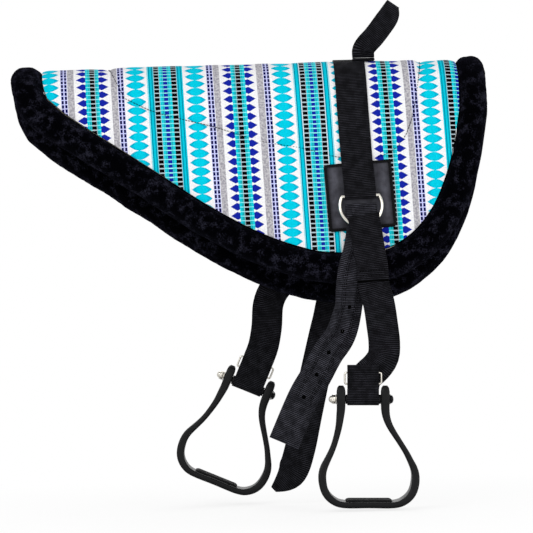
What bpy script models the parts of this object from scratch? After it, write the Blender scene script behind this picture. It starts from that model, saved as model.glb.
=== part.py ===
"""A bareback pad with stirrups: a quilted pad folded over the horse's back, edged with a plush roll,
a webbing strap over the seat that carries a dee on each side, two stirrups on webbing straps,
a billet on the off side (-Y) and a tie strap on the near side (+Y). The horse faces +X.
Lengths are in metres, +Z is up, and the origin is on the pad's underside at the top of the fold."""

import math

import bmesh
import bpy
from mathutils import Matrix, Vector

# Pad: its flat pattern, and the fold over the horse's back
pad_length = 0.676
pad_half_width = 0.3565
pad_slip = 0.0165
fold_angle = math.radians(86)
fold_length = 0.050
lining_thickness = 0.004
core_thickness = 0.012
cover_thickness = 0.0016
seat_foam_thickness = 0.003
layer_gap = 0.0003
seam_gap = 0.0005
edge_draw = 0.003
quilt_depth = 0.002
quilt_reach = 0.012
edge_reach = 0.022

# Outline of half the pad, from the tail to the front, as shares of half its length and width
side_shares = (
    (-0.973, 0.252), (-0.88, 0.336), (-0.675, 0.471), (-0.440, 0.622), (-0.204, 0.774), (0.040, 0.902),
    (0.265, 0.980), (0.382, 0.996), (0.524, 0.999), (0.645, 0.978), (0.754, 0.916), (0.843, 0.820),
    (0.905, 0.705), (0.959, 0.548), (0.997, 0.360),
)
tail_shares = ((0.0, -1.0), (0.12, -1.0), (0.196, -0.991), (0.252, -0.973))
front_shares = ((0.0, 0.985), (0.14, 0.996), (0.24, 1.0), (0.36, 0.997))
# The sewn line round the seat: its two ends and its long side, as shares of the same sizes
seat_tail_shares = ((0.0, -0.692), (0.13, -0.660), (0.263, -0.605))
seat_front_shares = ((0.0, 0.820), (0.13, 0.818), (0.378, 0.775), (0.47, 0.740))
seat_side_shares = (
    (-0.605, 0.263), (-0.460, 0.334), (-0.170, 0.414), (0.040, 0.482), (0.250, 0.522), (0.420, 0.567),
    (0.580, 0.575), (0.690, 0.530), (0.740, 0.470),
)
# Rows of the pad's layers from the crest to the edge, and columns from the tail to the front
seat_row_shares = (0.08, 0.2, 0.38, 0.62)
end_row_shares = (0.07, 0.17, 0.30, 0.45, 0.58, 0.68, 0.77, 0.86, 0.94, 1.0)
tail_column_shares = (0.0, 0.22, 0.55)
seat_column_shares = (0.14, 0.28, 0.42, 0.56, 0.70, 0.85)
front_column_shares = (0.42, 0.66, 0.84, 1.0)

# Plush roll round the pad's edge, with its filler cord
roll_width = 0.050
roll_height = 0.039
roll_wall = 0.003
roll_mouth_angle = math.radians(160)
roll_sides = 6
# Its width along the pad, as shares of that width at places from the middle to the ends
roll_width_shares = ((-1.0, 1.08), (-0.85, 1.02), (-0.5, 1.0), (0.9, 1.03), (1.0, 0.95))
filler_gap = 0.0014

# Strap over the seat, its leather patches and its dees
web_width = 0.0508
web_thickness = 0.002
strap_setback = 0.173
strap_lean_share = 0.03
strap_lift = 0.0006
bed_margin = 0.0005
strap_return = 0.045
strap_step = 0.008
patch_size = 0.109
patch_thickness = 0.003
patch_depth = 0.2655
dee_wire = 0.0055
dee_radius = 0.034
dee_bar_rise = 0.016
dee_drop = 0.001
wire_gap = 0.00035
arc_steps = 6

# Straps that hang: clearances between the layers, and the billet's narrow strip with its holes
hang_gap = 0.0012
turn_back = 0.089
billet_top_gap = 0.0072
latigo_top_gap = 0.016
strip_width = 0.029
strip_thickness = 0.0016
strip_gap = 0.0008
strip_end = 0.070
hole_diameter = 0.005
hole_pitch = 0.0415
hole_count = 5
hole_margin = 0.010
billet_twist = math.radians(28)
hang_step = 0.014

# Stirrups: a moulded frame with ears, and the bolt, tube, washers and nut that hold it
stirrup_width = 0.161
stirrup_height = 0.197
stirrup_skew = 0.009
skew_share = 0.35
ear_rise = 0.022
ear_thickness = 0.014
edge_chamfer = 0.002
tread_depth = 0.066
bolt_diameter = 0.008
bolt_clearance = 0.0003
tube_diameter = 0.015
tube_wall = 0.0018
washer_diameter = 0.016
washer_thickness = 0.0012
head_diameter = 0.0135
head_height = 0.0045
nut_width = 0.013
nut_height = 0.006
dome_height = 0.005
tread_pad_thickness = 0.003
tread_pad_margin = 0.006
slide_wire = 0.0034
slide_width = 0.063
slide_height = 0.018
slide_clear = 0.001
tail_over = 0.009
round_sides = 16

# Grab handle on the crest
handle_width = 0.036
handle_offset = 0.021
handle_height = 0.073
handle_bead = 0.0035
handle_bow = 0.010
anchor_length = 0.030
anchor_thickness = 0.002

overrun = 0.01
up = Vector((0, 0, 1))
along = Vector((1, 0, 0))

pad_thickness = lining_thickness + layer_gap + core_thickness + layer_gap + cover_thickness
strap_x = pad_length / 2 - strap_setback
handle_x = strap_x + handle_offset
dee_bar_depth = patch_depth + dee_drop


def clear_scene():
    for obj in list(bpy.data.objects):
        bpy.data.objects.remove(obj)


# What each kind of piece is made of: colour, roughness, metallic
finishes = {
    "cotton_canvas": ((0.30, 0.62, 0.72), 0.85, 0.0),
    "fleece": ((0.012, 0.012, 0.013), 0.95, 0.0),
    "plush": ((0.012, 0.012, 0.014), 0.8, 0.0),
    "foam": ((0.55, 0.55, 0.52), 0.9, 0.0),
    "filler_cord": ((0.6, 0.58, 0.54), 0.9, 0.0),
    "nylon_webbing": ((0.014, 0.014, 0.016), 0.6, 0.0),
    "leather": ((0.016, 0.016, 0.017), 0.5, 0.0),
    "nickel_plate": ((0.62, 0.61, 0.59), 0.28, 1.0),
    "moulded_nylon": ((0.022, 0.023, 0.025), 0.45, 0.0),
    "rubber": ((0.018, 0.018, 0.019), 0.8, 0.0),
    "nylon_tube": ((0.03, 0.03, 0.03), 0.5, 0.0),
}


def make_material(name, kind):
    colour, roughness, metallic = finishes[kind]
    material = bpy.data.materials.new(name + "_" + kind)
    material.use_nodes = True
    shader = material.node_tree.nodes["Principled BSDF"]
    shader.inputs["Base Color"].default_value = (*colour, 1.0)
    shader.inputs["Roughness"].default_value = roughness
    shader.inputs["Metallic"].default_value = metallic
    return material


def add_object(name, mesh_points, faces, material, smooth_angle=math.radians(35)):
    """One closed body from its points and faces, with its faces turned outwards."""
    mesh = bpy.data.meshes.new(name)
    mesh.from_pydata([tuple(point) for point in mesh_points], [], faces)
    shape = bmesh.new()
    shape.from_mesh(mesh)
    bmesh.ops.recalc_face_normals(shape, faces=shape.faces)
    shape.to_mesh(mesh)
    shape.free()
    mesh.shade_smooth()
    mesh.set_sharp_from_angle(angle=smooth_angle)
    mesh.materials.append(make_material(name, material))
    obj = bpy.data.objects.new(name, mesh)
    bpy.context.collection.objects.link(obj)
    return obj


def seat_on(obj, place):
    """Put an object's origin on its joint's axis, with its shape where it was."""
    obj.data.transform(Matrix.Translation(-place))
    obj.location = place


def loft(name, rings, material, closed=False, turned=()):
    """A body through a row of rings with as many points each, capped at its ends or closed on itself.
    The faces of the turned sides start at their second corner, which turns their diagonals."""
    count = len(rings[0])
    points = [point for ring in rings for point in ring]
    faces = []
    for row in range(len(rings) if closed else len(rings) - 1):
        this, following = row * count, (row + 1) % len(rings) * count
        for side in range(count):
            turn = (side + 1) % count
            face = (this + side, this + turn, following + turn, following + side)
            faces.append(face[1:] + face[:1] if side in turned else face)
    if not closed:
        faces.append(tuple(range(count)))
        faces.append(tuple(reversed(range(len(points) - count, len(points)))))
    return add_object(name, points, faces, material)


def curve_value(table, place):
    """Smooth value at a place of a table of (place, value) pairs."""
    places = [pair[0] for pair in table]
    values = [pair[1] for pair in table]
    place = min(max(place, places[0]), places[-1])
    index = max(i for i in range(len(places) - 1) if places[i] <= place)
    slopes = []
    for i in (index, index + 1):
        low, high = max(i - 1, 0), min(i + 1, len(places) - 1)
        slopes.append((values[high] - values[low]) / (places[high] - places[low]))
    span = places[index + 1] - places[index]
    t = (place - places[index]) / span
    return (
        (2 * t**3 - 3 * t**2 + 1) * values[index]
        + (t**3 - 2 * t**2 + t) * span * slopes[0]
        + (3 * t**2 - 2 * t**3) * values[index + 1]
        + (t**3 - t**2) * span * slopes[1]
    )


def blend(low, high, share):
    return low + (high - low) * share


def line_value(table, place):
    """Value at a place on straight lines through a table of (place, value) pairs."""
    for (a, value_a), (b, value_b) in zip(table, table[1:]):
        if place <= b:
            return blend(value_a, value_b, max(place - a, 0) / (b - a))
    return table[-1][1]


# The fold: the pad's outer face turns quickly at the crest and runs almost straight down the flaps
fold_step = fold_length / 100


def fold_table():
    table = [(0.0, 0.0)]
    reach, drop = 0.0, 0.0
    for i in range(int(pad_half_width * 1.5 / fold_step)):
        angle = fold_angle * (1 - math.exp(-(i + 0.5) * fold_step / fold_length))
        reach += math.cos(angle) * fold_step
        drop += math.sin(angle) * fold_step
        table.append((reach, drop))
    return table


folded = fold_table()


def skin(x, run, lift=0.0):
    """Point at a run from the pad's middle line (towards +Y), lifted off the pad's outer face."""
    run += pad_slip
    side = math.copysign(1, run)
    place = abs(run) / fold_step
    index = int(place)
    reach = blend(folded[index][0], folded[index + 1][0], place - index)
    drop = blend(folded[index][1], folded[index + 1][1], place - index)
    return Vector((x, side * reach, pad_thickness - drop)) + skin_normal(run - pad_slip) * lift


def skin_normal(run):
    run += pad_slip
    angle = fold_angle * (1 - math.exp(-abs(run) / fold_length))
    return Vector((0, math.copysign(math.sin(angle), run), math.cos(angle)))


def share_of(table, run):
    """Place along X that a table of shares gives at a run from the middle line."""
    return curve_value(table, min(abs(run) / pad_half_width, table[-1][0])) * pad_length / 2


def side_run(x):
    return curve_value(side_shares, x * 2 / pad_length) * pad_half_width


def seat_run(x):
    return curve_value(seat_side_shares, x * 2 / pad_length) * pad_half_width


def column_list():
    """Each column of the layers' grid: the two lines that it lies between, and its share between them."""
    tail, seat_tail, seat_front, front = tail_shares, seat_tail_shares, seat_front_shares, front_shares
    tail_end = seat_tail[-1][1] * pad_length / 2
    front_end = seat_front[-1][1] * pad_length / 2
    reach_tail = quilt_reach / (tail_end - tail[-1][1] * pad_length / 2)
    reach_seat = quilt_reach / (front_end - tail_end)
    reach_front = quilt_reach / (front[-1][1] * pad_length / 2 - front_end)
    columns = [(tail, seat_tail, share, "tail") for share in tail_column_shares]
    columns.append((tail, seat_tail, 1 - reach_tail, "rim"))
    columns.append((tail, seat_tail, 1.0, "sewn"))
    columns.append((seat_tail, seat_front, reach_seat, "shoulder"))
    columns += [(seat_tail, seat_front, share, "seat") for share in seat_column_shares]
    columns.append((seat_tail, seat_front, 1 - reach_seat, "shoulder"))
    columns.append((seat_tail, seat_front, 1.0, "sewn"))
    columns.append((seat_front, front, reach_front, "rim"))
    columns += [(seat_front, front, share, "front") for share in front_column_shares]
    return columns


def row_runs(x, edge):
    """Runs of the rows in a column that crosses the seat, from the crest to the edge."""
    sewn = seat_run(x)
    runs = [sewn * share for share in seat_row_shares]
    runs += [sewn - quilt_reach, sewn, sewn + quilt_reach]
    runs += [(sewn + quilt_reach + edge - edge_reach) / 2, edge - edge_reach, edge]
    return runs


def pad_grid():
    """Places (x, run) of the layers' vertices, and what each does: seat, shoulder, sewn, rim, plain or edge."""
    rows = len(end_row_shares)
    grid, kinds = [], []
    columns = column_list()
    seat_front_end = seat_front_shares[-1][1] * pad_length / 2
    seat_tail_end = seat_tail_shares[-1][1] * pad_length / 2
    for low, high, share, zone in columns:
        low_end, high_end = low[-1][1] * pad_length / 2, high[-1][1] * pad_length / 2
        x_edge = blend(low_end, high_end, share)
        edge = side_run(x_edge)
        if low is tail_shares or low is seat_front_shares:
            seat_x = seat_tail_end if low is tail_shares else seat_front_end
            seat_edge = side_run(seat_x)
            outward = 1 - share if low is tail_shares else share
            inner = [run / seat_edge for run in row_runs(seat_x, seat_edge)]
            runs = [edge * blend(a, b, outward) for a, b in zip(inner, end_row_shares)]
        else:
            runs = row_runs(x_edge, edge)
        places, roles = [], []
        for k in range(-rows, rows + 1):
            run = math.copysign(runs[abs(k) - 1], k) if k else 0.0
            places.append((blend(share_of(low, run), share_of(high, run), share), run))
            roles.append(role(zone, abs(k), share, rows))
        grid.append(places)
        kinds.append(roles)
    return grid, kinds


def role(zone, row, share, rows):
    sewn_row = rows - 4
    if row == rows or (zone == "tail" and share == 0) or (zone == "front" and share == 1):
        return "edge"
    if zone in ("tail", "rim", "front") or row > sewn_row:
        return "plain"
    if zone == "sewn" or row == sewn_row:
        return "sewn"
    return "shoulder" if zone == "shoulder" or row == sewn_row - 1 else "seat"


# Height of the foam core's top and of the seat foam over each kind of vertex, from the pad's plain face
core_drop = {"seat": 0, "shoulder": 0, "sewn": quilt_depth, "plain": 0, "edge": edge_draw}
seat_share = {"seat": 1.0, "shoulder": 0.55, "sewn": 0.0, "plain": 0.0, "edge": 0.0}


def layer(name, grid, low, high, material, columns=None, rows=None):
    """A sheet between two tables of lifts on the same grid, so that neighbours lie face to face."""
    columns = columns or range(len(grid))
    rows = rows or range(len(grid[0]))
    width = len(rows)
    points, faces = [], []
    for lifts in (low, high):
        points += [skin(*grid[i][k], lifts[i][k]) for i in columns for k in rows]
    size = len(columns) * width
    for i in range(len(columns) - 1):
        for k in range(width - 1):
            a, b = i * width + k, (i + 1) * width + k
            faces += [(a, b, b + 1), (a, b + 1, a + 1)]
            faces += [(size + a, size + b + 1, size + b), (size + a, size + a + 1, size + b + 1)]
    rim = rim_order(len(columns), width)
    for a, b in zip(rim, rim[1:] + rim[:1]):
        faces.append((a, b, size + b, size + a))
    return add_object(name, points, faces, material)


def rim_order(columns, rows):
    """Indices of a grid's outer vertices in one round."""
    rim = list(range(rows))
    rim += [i * rows + rows - 1 for i in range(1, columns)]
    rim += [(columns - 1) * rows + k for k in range(rows - 2, -1, -1)]
    rim += [i * rows for i in range(columns - 2, 0, -1)]
    return rim


def make_pad():
    grid, kinds = pad_grid()
    plain_core = -cover_thickness - layer_gap
    bottom = [[-pad_thickness for _ in row] for row in kinds]
    lining = [[lift + lining_thickness for lift in row] for row in bottom]
    core_low = [[lift + layer_gap for lift in row] for row in lining]
    core_high = [[plain_core - core_drop[kind] for kind in row] for row in kinds]
    foam_low = [[lift + layer_gap for lift in row] for row in core_high]
    foam_high = [
        [lift + seat_foam_thickness * seat_share[kind] for lift, kind in zip(lifts, row)]
        for lifts, row in zip(foam_low, kinds)
    ]
    cover_low = [
        [lift + (layer_gap if seat_share[kind] else 0) for lift, kind in zip(lifts, row)]
        for lifts, row in zip(foam_high, kinds)
    ]
    cover_high = [[lift + cover_thickness for lift in row] for row in cover_low]
    layer("fleece_lining", grid, bottom, lining, "fleece")
    layer("foam_core", grid, core_low, core_high, "foam")
    inside = [i for i, row in enumerate(kinds) if seat_share[row[len(row) // 2]]]
    across = [k for k in range(len(kinds[0])) if seat_share[kinds[inside[1]][k]]]
    layer("seat_foam", grid, foam_low, foam_high, "foam", inside, across)
    layer("pad_cover", grid, cover_low, cover_high, "cotton_canvas")
    make_roll(grid)


def roll_ring(place, tangent, run, scale_in):
    """Points of the roll's section at one place of the pad's edge, shrunk by an inset."""
    middle = -(pad_thickness + edge_draw) / 2
    normal = skin_normal(run)
    outward = normal.cross(tangent).normalized()
    half_width = roll_width / 2 * curve_value(roll_width_shares, place.x * 2 / pad_length)
    half_height = roll_height / 2
    start = seam_gap - half_width * math.cos(roll_mouth_angle)
    ring = []
    for i in range(roll_sides + 1):
        angle = roll_mouth_angle * (1 - 2 * i / roll_sides)
        sideways = start + (half_width - scale_in) * math.cos(angle)
        height = middle + (half_height - scale_in) * math.sin(angle)
        ring.append(place + outward * sideways + normal * height)
    return ring


def make_roll(grid):
    places = [place for row in grid for place in row]
    order = rim_order(len(grid), len(grid[0]))
    points = [skin(*places[index]) for index in order]
    sleeves, cores = [], []
    for i, index in enumerate(order):
        tangent = (points[(i + 1) % len(points)] - points[i - 1]).normalized()
        run = places[index][1]
        outer = roll_ring(points[i], tangent, run, 0.0)
        inner = roll_ring(points[i], tangent, run, roll_wall)
        sleeves.append(outer + inner[::-1])
        cores.append(roll_ring(points[i], tangent, run, roll_wall + filler_gap))
    loft("edge_roll", sleeves, "plush", closed=True)
    loft("edge_roll_core", cores, "filler_cord", closed=True)


def ribbon(name, stations, thickness, material, width=web_width, closed=False, shares=None, inner=None):
    """A flat strap through stations (place, across), with each across turned square to the path.
    Its ends' widths may be shares of the width, and its faces may be split at an inner share."""
    rings = []
    count = len(stations)
    for i, (place, across) in enumerate(stations):
        before = stations[i - 1][0] if closed or i else place
        after = stations[(i + 1) % count][0] if closed or i < count - 1 else place
        path = (after - before).normalized()
        across = (across - path * across.dot(path)).normalized()
        face = across.cross(path) * thickness / 2
        left, right = shares[i] if shares else (1.0, 1.0)
        places = [-left, right] if inner is None else [-left, -inner, inner, right]
        row = [place + across * width / 2 * share for share in places]
        rings.append([point - face for point in row] + [point + face for point in reversed(row)])
    half = len(rings[0]) // 2
    return loft(name, rings, material, closed, turned=range(half, half * 2 - 1))


def smooth_stations(controls, step):
    """Stations (place, across) about a step apart on a smooth curve through the controls."""
    result = []
    for i in range(len(controls) - 1):
        window = [controls[min(max(i + k, 0), len(controls) - 1)] for k in (-1, 0, 1, 2)]
        count = max(1, round((controls[i + 1][0] - controls[i][0]).length / step))
        for j in range(count):
            t = j / count
            result.append(tuple(catmull([station[part] for station in window], t) for part in (0, 1)))
    result.append(controls[-1])
    return result


def catmull(values, t):
    a, b, c, d = values
    return (b * 2 + (c - a) * t + (a * 2 - b * 5 + c * 4 - d) * t**2 + (b * 3 - a - c * 3 + d) * t**3) / 2


def cover_lift(x, run):
    """Lift of the cover's top over the pad's plain face where a strap crosses the seat."""
    edge = side_run(x)
    rows = len(end_row_shares)
    table = [(0.0, seat_lift("seat"))]
    for row, place in enumerate(row_runs(x, edge), 1):
        table.append((place, seat_lift(role("seat", row, share=0.5, rows=rows))))
    return line_value(table, abs(run))


def seat_lift(kind):
    foam = seat_foam_thickness * seat_share[kind]
    return foam + (layer_gap if foam else 0) - core_drop[kind]


def strap_bed(run):
    """Lift that the strap over the seat needs: the highest part of the cover under its width."""
    middle = strap_middle(run)
    return bed_margin + max(0.0, *(cover_lift(middle + web_width / 2 * share, run) for share in (-1, 0, 1)))


def strap_middle(run):
    """Place along X of the strap over the seat: it leans a little as it crosses the pad."""
    return strap_x - strap_lean_share * run


patch_top = strap_lift + patch_thickness
return_lift = patch_top + layer_gap + web_thickness / 2
loop_radius = dee_wire / 2 + wire_gap + web_thickness / 2
bar_lift = return_lift + loop_radius


def strap_half(side):
    """Stations of the over-strap on one side, from its end behind the dee's bar up to the crest."""
    table = [(side * (dee_bar_depth - strap_return), return_lift), (side * dee_bar_depth, return_lift)]
    for i in range(1, arc_steps):
        angle = math.pi * i / arc_steps
        table.append(
            (
                side * (dee_bar_depth + loop_radius * math.sin(angle)),
                bar_lift - loop_radius * math.cos(angle),
            )
        )
    upper = return_lift + web_thickness + layer_gap
    table.append((side * dee_bar_depth, bar_lift + loop_radius))
    table.append((side * (dee_bar_depth - loop_radius * 4), upper))
    table.append((side * (dee_bar_depth - strap_return), upper))
    edge = patch_depth - patch_size / 2
    table.append((side * (edge - web_thickness), return_lift))
    shoulder = seat_run(strap_x) - quilt_reach
    runs = [edge - web_width / 5, shoulder]
    while runs[-1] > strap_step * 3 / 2:
        runs.append(runs[-1] - (strap_step if runs[-1] < web_width * 2 else strap_step * 2))
    for run in runs:
        table.append((side * run, strap_bed(side * run) + strap_lift + web_thickness / 2))
    _, _, sideways, _, _ = dee_frame(side)
    return [
        (skin(strap_middle(run), run, lift), sideways if abs(run) > edge else along) for run, lift in table
    ]


def make_over_strap():
    near_end = strap_half(-1)
    far_end = strap_half(1)
    crest = (
        skin(strap_middle(0), 0, strap_bed(0) + strap_lift + web_thickness / 2),
        along,
    )
    stations = near_end + [crest] + far_end[::-1]
    ribbon("over_strap", stations, web_thickness, "nylon_webbing")


def make_patch(name, side):
    """A square leather patch that lies along the flap, turned with the strap."""
    count = 5
    rings = []
    for i in range(count + 1):
        run = side * (patch_depth + patch_size * (i / count - 1 / 2))
        middle = strap_middle(run)
        low, high = strap_lift, strap_lift + patch_thickness
        back, front = -patch_size / 2, patch_size / 2
        rings.append(
            [
                skin(middle + half, run + half * strap_lean_share, lift)
                for half, lift in ((back, low), (front, low), (front, high), (back, high))
            ]
        )
    loft(name, rings, "leather")


def dee_frame(side):
    """Middle of the dee's arc, and its directions: along the bar, down, and off the pad."""
    bar_run = side * dee_bar_depth
    bar = skin(strap_middle(bar_run), bar_run, bar_lift)
    low_run = side * (dee_bar_depth + dee_bar_rise + dee_radius)
    stack = patch_top + layer_gap + web_thickness + strip_gap + strip_thickness + hang_gap
    fold = dee_bar_rise + math.sqrt((dee_radius - dee_wire / 2) ** 2 - (web_width / 2) ** 2)
    slope = (stack + web_thickness + wire_gap + dee_wire / 2 - bar_lift) / fold
    low_lift = bar_lift + slope * (dee_bar_rise + dee_radius)
    low = skin(strap_middle(low_run), low_run, low_lift)
    down = (low - bar).normalized()
    sideways = (along - down * along.dot(down)).normalized()
    off = down.cross(sideways) * side
    off = off if off.y * side > 0 else -off
    return bar, bar + down * dee_bar_rise, sideways, down, off


def make_dee(name, side):
    """A wire ring of one arc and a flat bar, in the plane that hangs from the bar."""
    bar, middle, sideways, down, _ = dee_frame(side)
    half_bar = math.acos(dee_bar_rise / dee_radius)
    path = []
    steps = round_sides + 2
    for i in range(steps + 1):
        angle = half_bar + (2 * math.pi - 2 * half_bar) * i / steps
        path.append(middle - down * math.cos(angle) * dee_radius + sideways * math.sin(angle) * dee_radius)
    first, last = path[0], path[-1]
    path += [blend(last, first, share) for share in (1 / 3, 2 / 3)]
    seat_on(wire_ring(name, path, sideways.cross(down).normalized(), dee_wire, "nickel_plate"), bar)


def wire_ring(name, path, normal, diameter, material, sides=6):
    """A closed ring of round wire through a flat path."""
    rings = []
    for i, place in enumerate(path):
        tangent = (path[(i + 1) % len(path)] - path[i - 1]).normalized()
        out = tangent.cross(normal).normalized()
        rings.append(
            [
                place + (out * math.cos(angle) + normal * math.sin(angle)) * diameter / 2
                for angle in (2 * math.pi * (k + 0.5) / sides for k in range(sides))
            ]
        )
    return loft(name, rings, material, closed=True)


def roll_face(side):
    """Depth of the roll's outermost face, from the pad's middle plane, at the lowest part of the flap."""
    run = side * (pad_half_width + roll_width / 2)
    proud = roll_height / 2 - (pad_thickness + edge_draw) / 2
    return abs(skin(strap_x, run, proud).y)


def crest_down(height):
    """Height of a place that hangs a given way below the crest."""
    return pad_thickness - height


# Half of the stirrup's frame from an ear's top to the middle of the tread, as shares of half its width,
# its height, the ear's thickness and the tread's depth
stirrup_shares = (
    (0.440, 0.000, 0.50, 0.12), (0.440, 0.018, 0.86, 0.24), (0.440, 0.048, 1.00, 0.30),
    (0.440, 0.113, 1.00, 0.33), (0.446, 0.215, 0.93, 0.33),
    (0.505, 0.328, 0.75, 0.38), (0.647, 0.462, 0.64, 0.44), (0.797, 0.585, 0.68, 0.55),
    (0.908, 0.687, 0.82, 0.67), (0.922, 0.779, 0.89, 0.79), (0.863, 0.867, 0.86, 0.88),
    (0.719, 0.931, 0.79, 0.955), (0.497, 0.963, 0.71, 1.00), (0.000, 0.963, 0.71, 1.00),
)
ear_middle = stirrup_shares[0][0] * stirrup_width / 2
ear_gap = ear_middle * 2 - ear_thickness

# Where the hanging straps run, as shares of the off stirrup bolt's drop below the crest: the way along X
# from the strap over the seat, and the way down. The billet and the tie strap also tuck in under the
# roll, by a share of the free tuck
strap_drop = 0.5449
off_bolt_shares = (0.0059, 1.0)
near_bolt_shares = (-0.3345, 0.9655)
off_lean, off_swing = math.radians(1.5), math.radians(-8)
near_lean, near_swing = math.radians(23.5), math.radians(52)
off_strap_route_shares = (
    (0.036, 0.562), (0.043, 0.609), (0.046, 0.664), (0.060, 0.719), (0.068, 0.780), (0.073, 0.835),
    (0.069, 0.876), (0.048, 0.907), (0.022, 0.930), (0.011, 0.950),
)
near_strap_route_shares = (
    (-0.110, 0.573), (-0.156, 0.602), (-0.205, 0.633), (-0.245, 0.672), (-0.266, 0.719),
    (-0.272, 0.785), (-0.283, 0.842), (-0.298, 0.881),
)
billet_route_shares = (
    (0.006, 0.562, 0.17), (-0.008, 0.609, 0.00), (-0.015, 0.642, 0.00), (-0.022, 0.683, 0.10),
    (-0.028, 0.725, 0.35), (-0.053, 0.807, 0.70), (-0.094, 0.866, 0.88), (-0.130, 0.930, 1.00),
    (-0.171, 0.998, 1.00), (-0.230, 1.127, 1.00),
)
latigo_route_shares = (
    (-0.039, 0.606, 0.15), (-0.053, 0.646, 0.00), (-0.064, 0.686, 0.00), (-0.075, 0.725, 0.12),
    (-0.085, 0.767, 0.40), (-0.099, 0.818, 0.65), (-0.130, 0.940, 0.92), (-0.157, 1.055, 1.00),
    (-0.181, 1.160, 1.00), (-0.207, 1.228, 1.00), (-0.262, 1.283, 1.00),
)
free_tuck = 0.028
twist_shares = ((0.0, 0.0), (0.27, 0.0), (0.40, 1.0), (0.56, 0.0), (1.0, 0.0))
tip_length = 0.045
tip_share = 0.30
# Where the strap's two layers come together below the dee, and where it turns to the tube
spread_share = 0.4
neck_share = 0.6


def outer_layers(side):
    """Thickness of what hangs between the roll and a stirrup strap."""
    return web_thickness + (strip_gap + strip_thickness if side < 0 else 0)


def strap_depth(side):
    return roll_face(side) + hang_gap + outer_layers(side) + hang_gap + web_thickness / 2


def bolt_place(side):
    place, drop = off_bolt_shares if side < 0 else near_bolt_shares
    depth = strap_depth(side) + tube_diameter / 2 + wire_gap + web_thickness / 2
    return Vector((strap_x + place * strap_drop, side * depth, crest_down(drop * strap_drop)))


def bottom_loop(side, lean, bolt):
    """Stations of a strap's lower end: round the stirrup's tube, up over the slide and in under it."""
    radius = tube_diameter / 2 + wire_gap + web_thickness / 2
    turn = Matrix.Rotation(lean, 3, "Y")
    across, rise = turn @ along, turn @ up
    off = Vector((0, side, 0))
    low = ear_rise + slide_clear + slide_wire / 2
    high = low + slide_height
    inside = web_thickness + layer_gap
    bar = inside + web_thickness / 2 + wire_gap + slide_wire / 2
    over = bar + slide_wire / 2 + wire_gap + web_thickness / 2
    reach = math.hypot(over - radius, low)
    wrap = math.pi + math.atan2(low, over - radius) - math.acos(radius / reach)
    stations = []
    for i in range(arc_steps + 3):
        angle = wrap * i / (arc_steps + 2)
        stations.append((bolt - off * radius * math.cos(angle) - rise * radius * math.sin(angle), across))
    for height, lift in (
        (low, over), (low + slide_wire, over), (high + slide_wire, over),
        (high + slide_wire + tail_over, inside), (high + slide_wire + tail_over * 2, inside),
    ):
        stations.append((bolt + off * (lift - radius) + rise * height, across))
    return stations, (bolt + off * (bar - radius) + rise * (low + high) / 2, across, rise)


def make_stirrup_strap(name, slide_name, side):
    """A webbing strap folded over the dee's wire, hanging to the stirrup's tube and back over its slide."""
    swing = off_swing if side < 0 else near_swing
    lean = off_lean if side < 0 else near_lean
    route = off_strap_route_shares if side < 0 else near_strap_route_shares
    _, middle, sideways, down, off = dee_frame(side)
    hang_down = down * math.cos(swing) - sideways * math.sin(swing)
    across = sideways * math.cos(swing) + down * math.sin(swing)
    radius = dee_wire / 2 + wire_gap + web_thickness / 2
    inner_arc = dee_radius - dee_wire / 2
    top = math.sqrt(inner_arc**2 - (web_width / 2) ** 2) - wire_gap - web_thickness / 2
    below = dee_radius + dee_wire
    fold_end = middle + hang_down * (top + radius) - off * radius
    back_start = middle + hang_down * below - off * radius
    depth = strap_depth(side)
    controls = [(back_start, across)]
    for i, (place, drop) in enumerate(route):
        out = blend(abs(back_start.y), depth, min(1.0, (i + 1) / 2))
        guide = across.lerp(along, min(1.0, (i + 1) / 5))
        controls.append((Vector((strap_x + place * strap_drop, side * out, crest_down(drop * strap_drop))), guide))
    bolt = bolt_place(side)
    turn = Matrix.Rotation(lean, 3, "Y")
    tube_radius = tube_diameter / 2 + wire_gap + web_thickness / 2
    controls.append((bolt - Vector((0, side * tube_radius, 0)) + turn @ up * ear_rise * neck_share, turn @ along))
    back = smooth_stations(controls, hang_step)
    back.append((bolt - Vector((0, side * tube_radius, 0)), turn @ along))
    front, length = [(middle + hang_down * below + off * radius, across)], 0.0
    for i in range(1, len(back) - 1):
        length += (back[i][0] - back[i - 1][0]).length
        path = (back[i + 1][0] - back[i - 1][0]).normalized()
        guide = (back[i][1] - path * back[i][1].dot(path)).normalized()
        face = guide.cross(path) * side
        if length > turn_back:
            break
        spread = max(0.0, 1 - length / (turn_back * spread_share))
        lift = blend(web_thickness + layer_gap * 2, radius * 2, spread)
        front.append((back[i][0] + face * lift, guide))
    stations = front[::-1]
    for i in range(arc_steps + 1):
        angle = math.pi * i / arc_steps
        fold = middle + hang_down * (top + radius - radius * math.sin(angle))
        stations.append((fold + off * radius * math.cos(angle), across))
    loop, slide_frame = bottom_loop(side, lean, bolt)
    stations += back[:-1] + loop
    seat_on(ribbon(name, stations, web_thickness, "nylon_webbing"), middle)
    seat_on(make_slide(slide_name, *slide_frame), middle)


def make_slide(name, middle, across, path):
    """A flat wire ring that the strap's end is threaded through."""
    half_width, half_height = slide_width / 2, slide_height / 2
    corner = slide_wire
    places = []
    for sx, sz, start in ((1, 1, 0), (-1, 1, 1), (-1, -1, 2), (1, -1, 3)):
        for k in range(3):
            angle = math.pi / 2 * (start + k / 2)
            x = sx * (half_width - corner) + math.cos(angle) * corner
            z = sz * (half_height - corner) + math.sin(angle) * corner
            places.append(middle + across * x + path * z)
    return wire_ring(name, places, across.cross(path), slide_wire, "nickel_plate")


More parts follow.
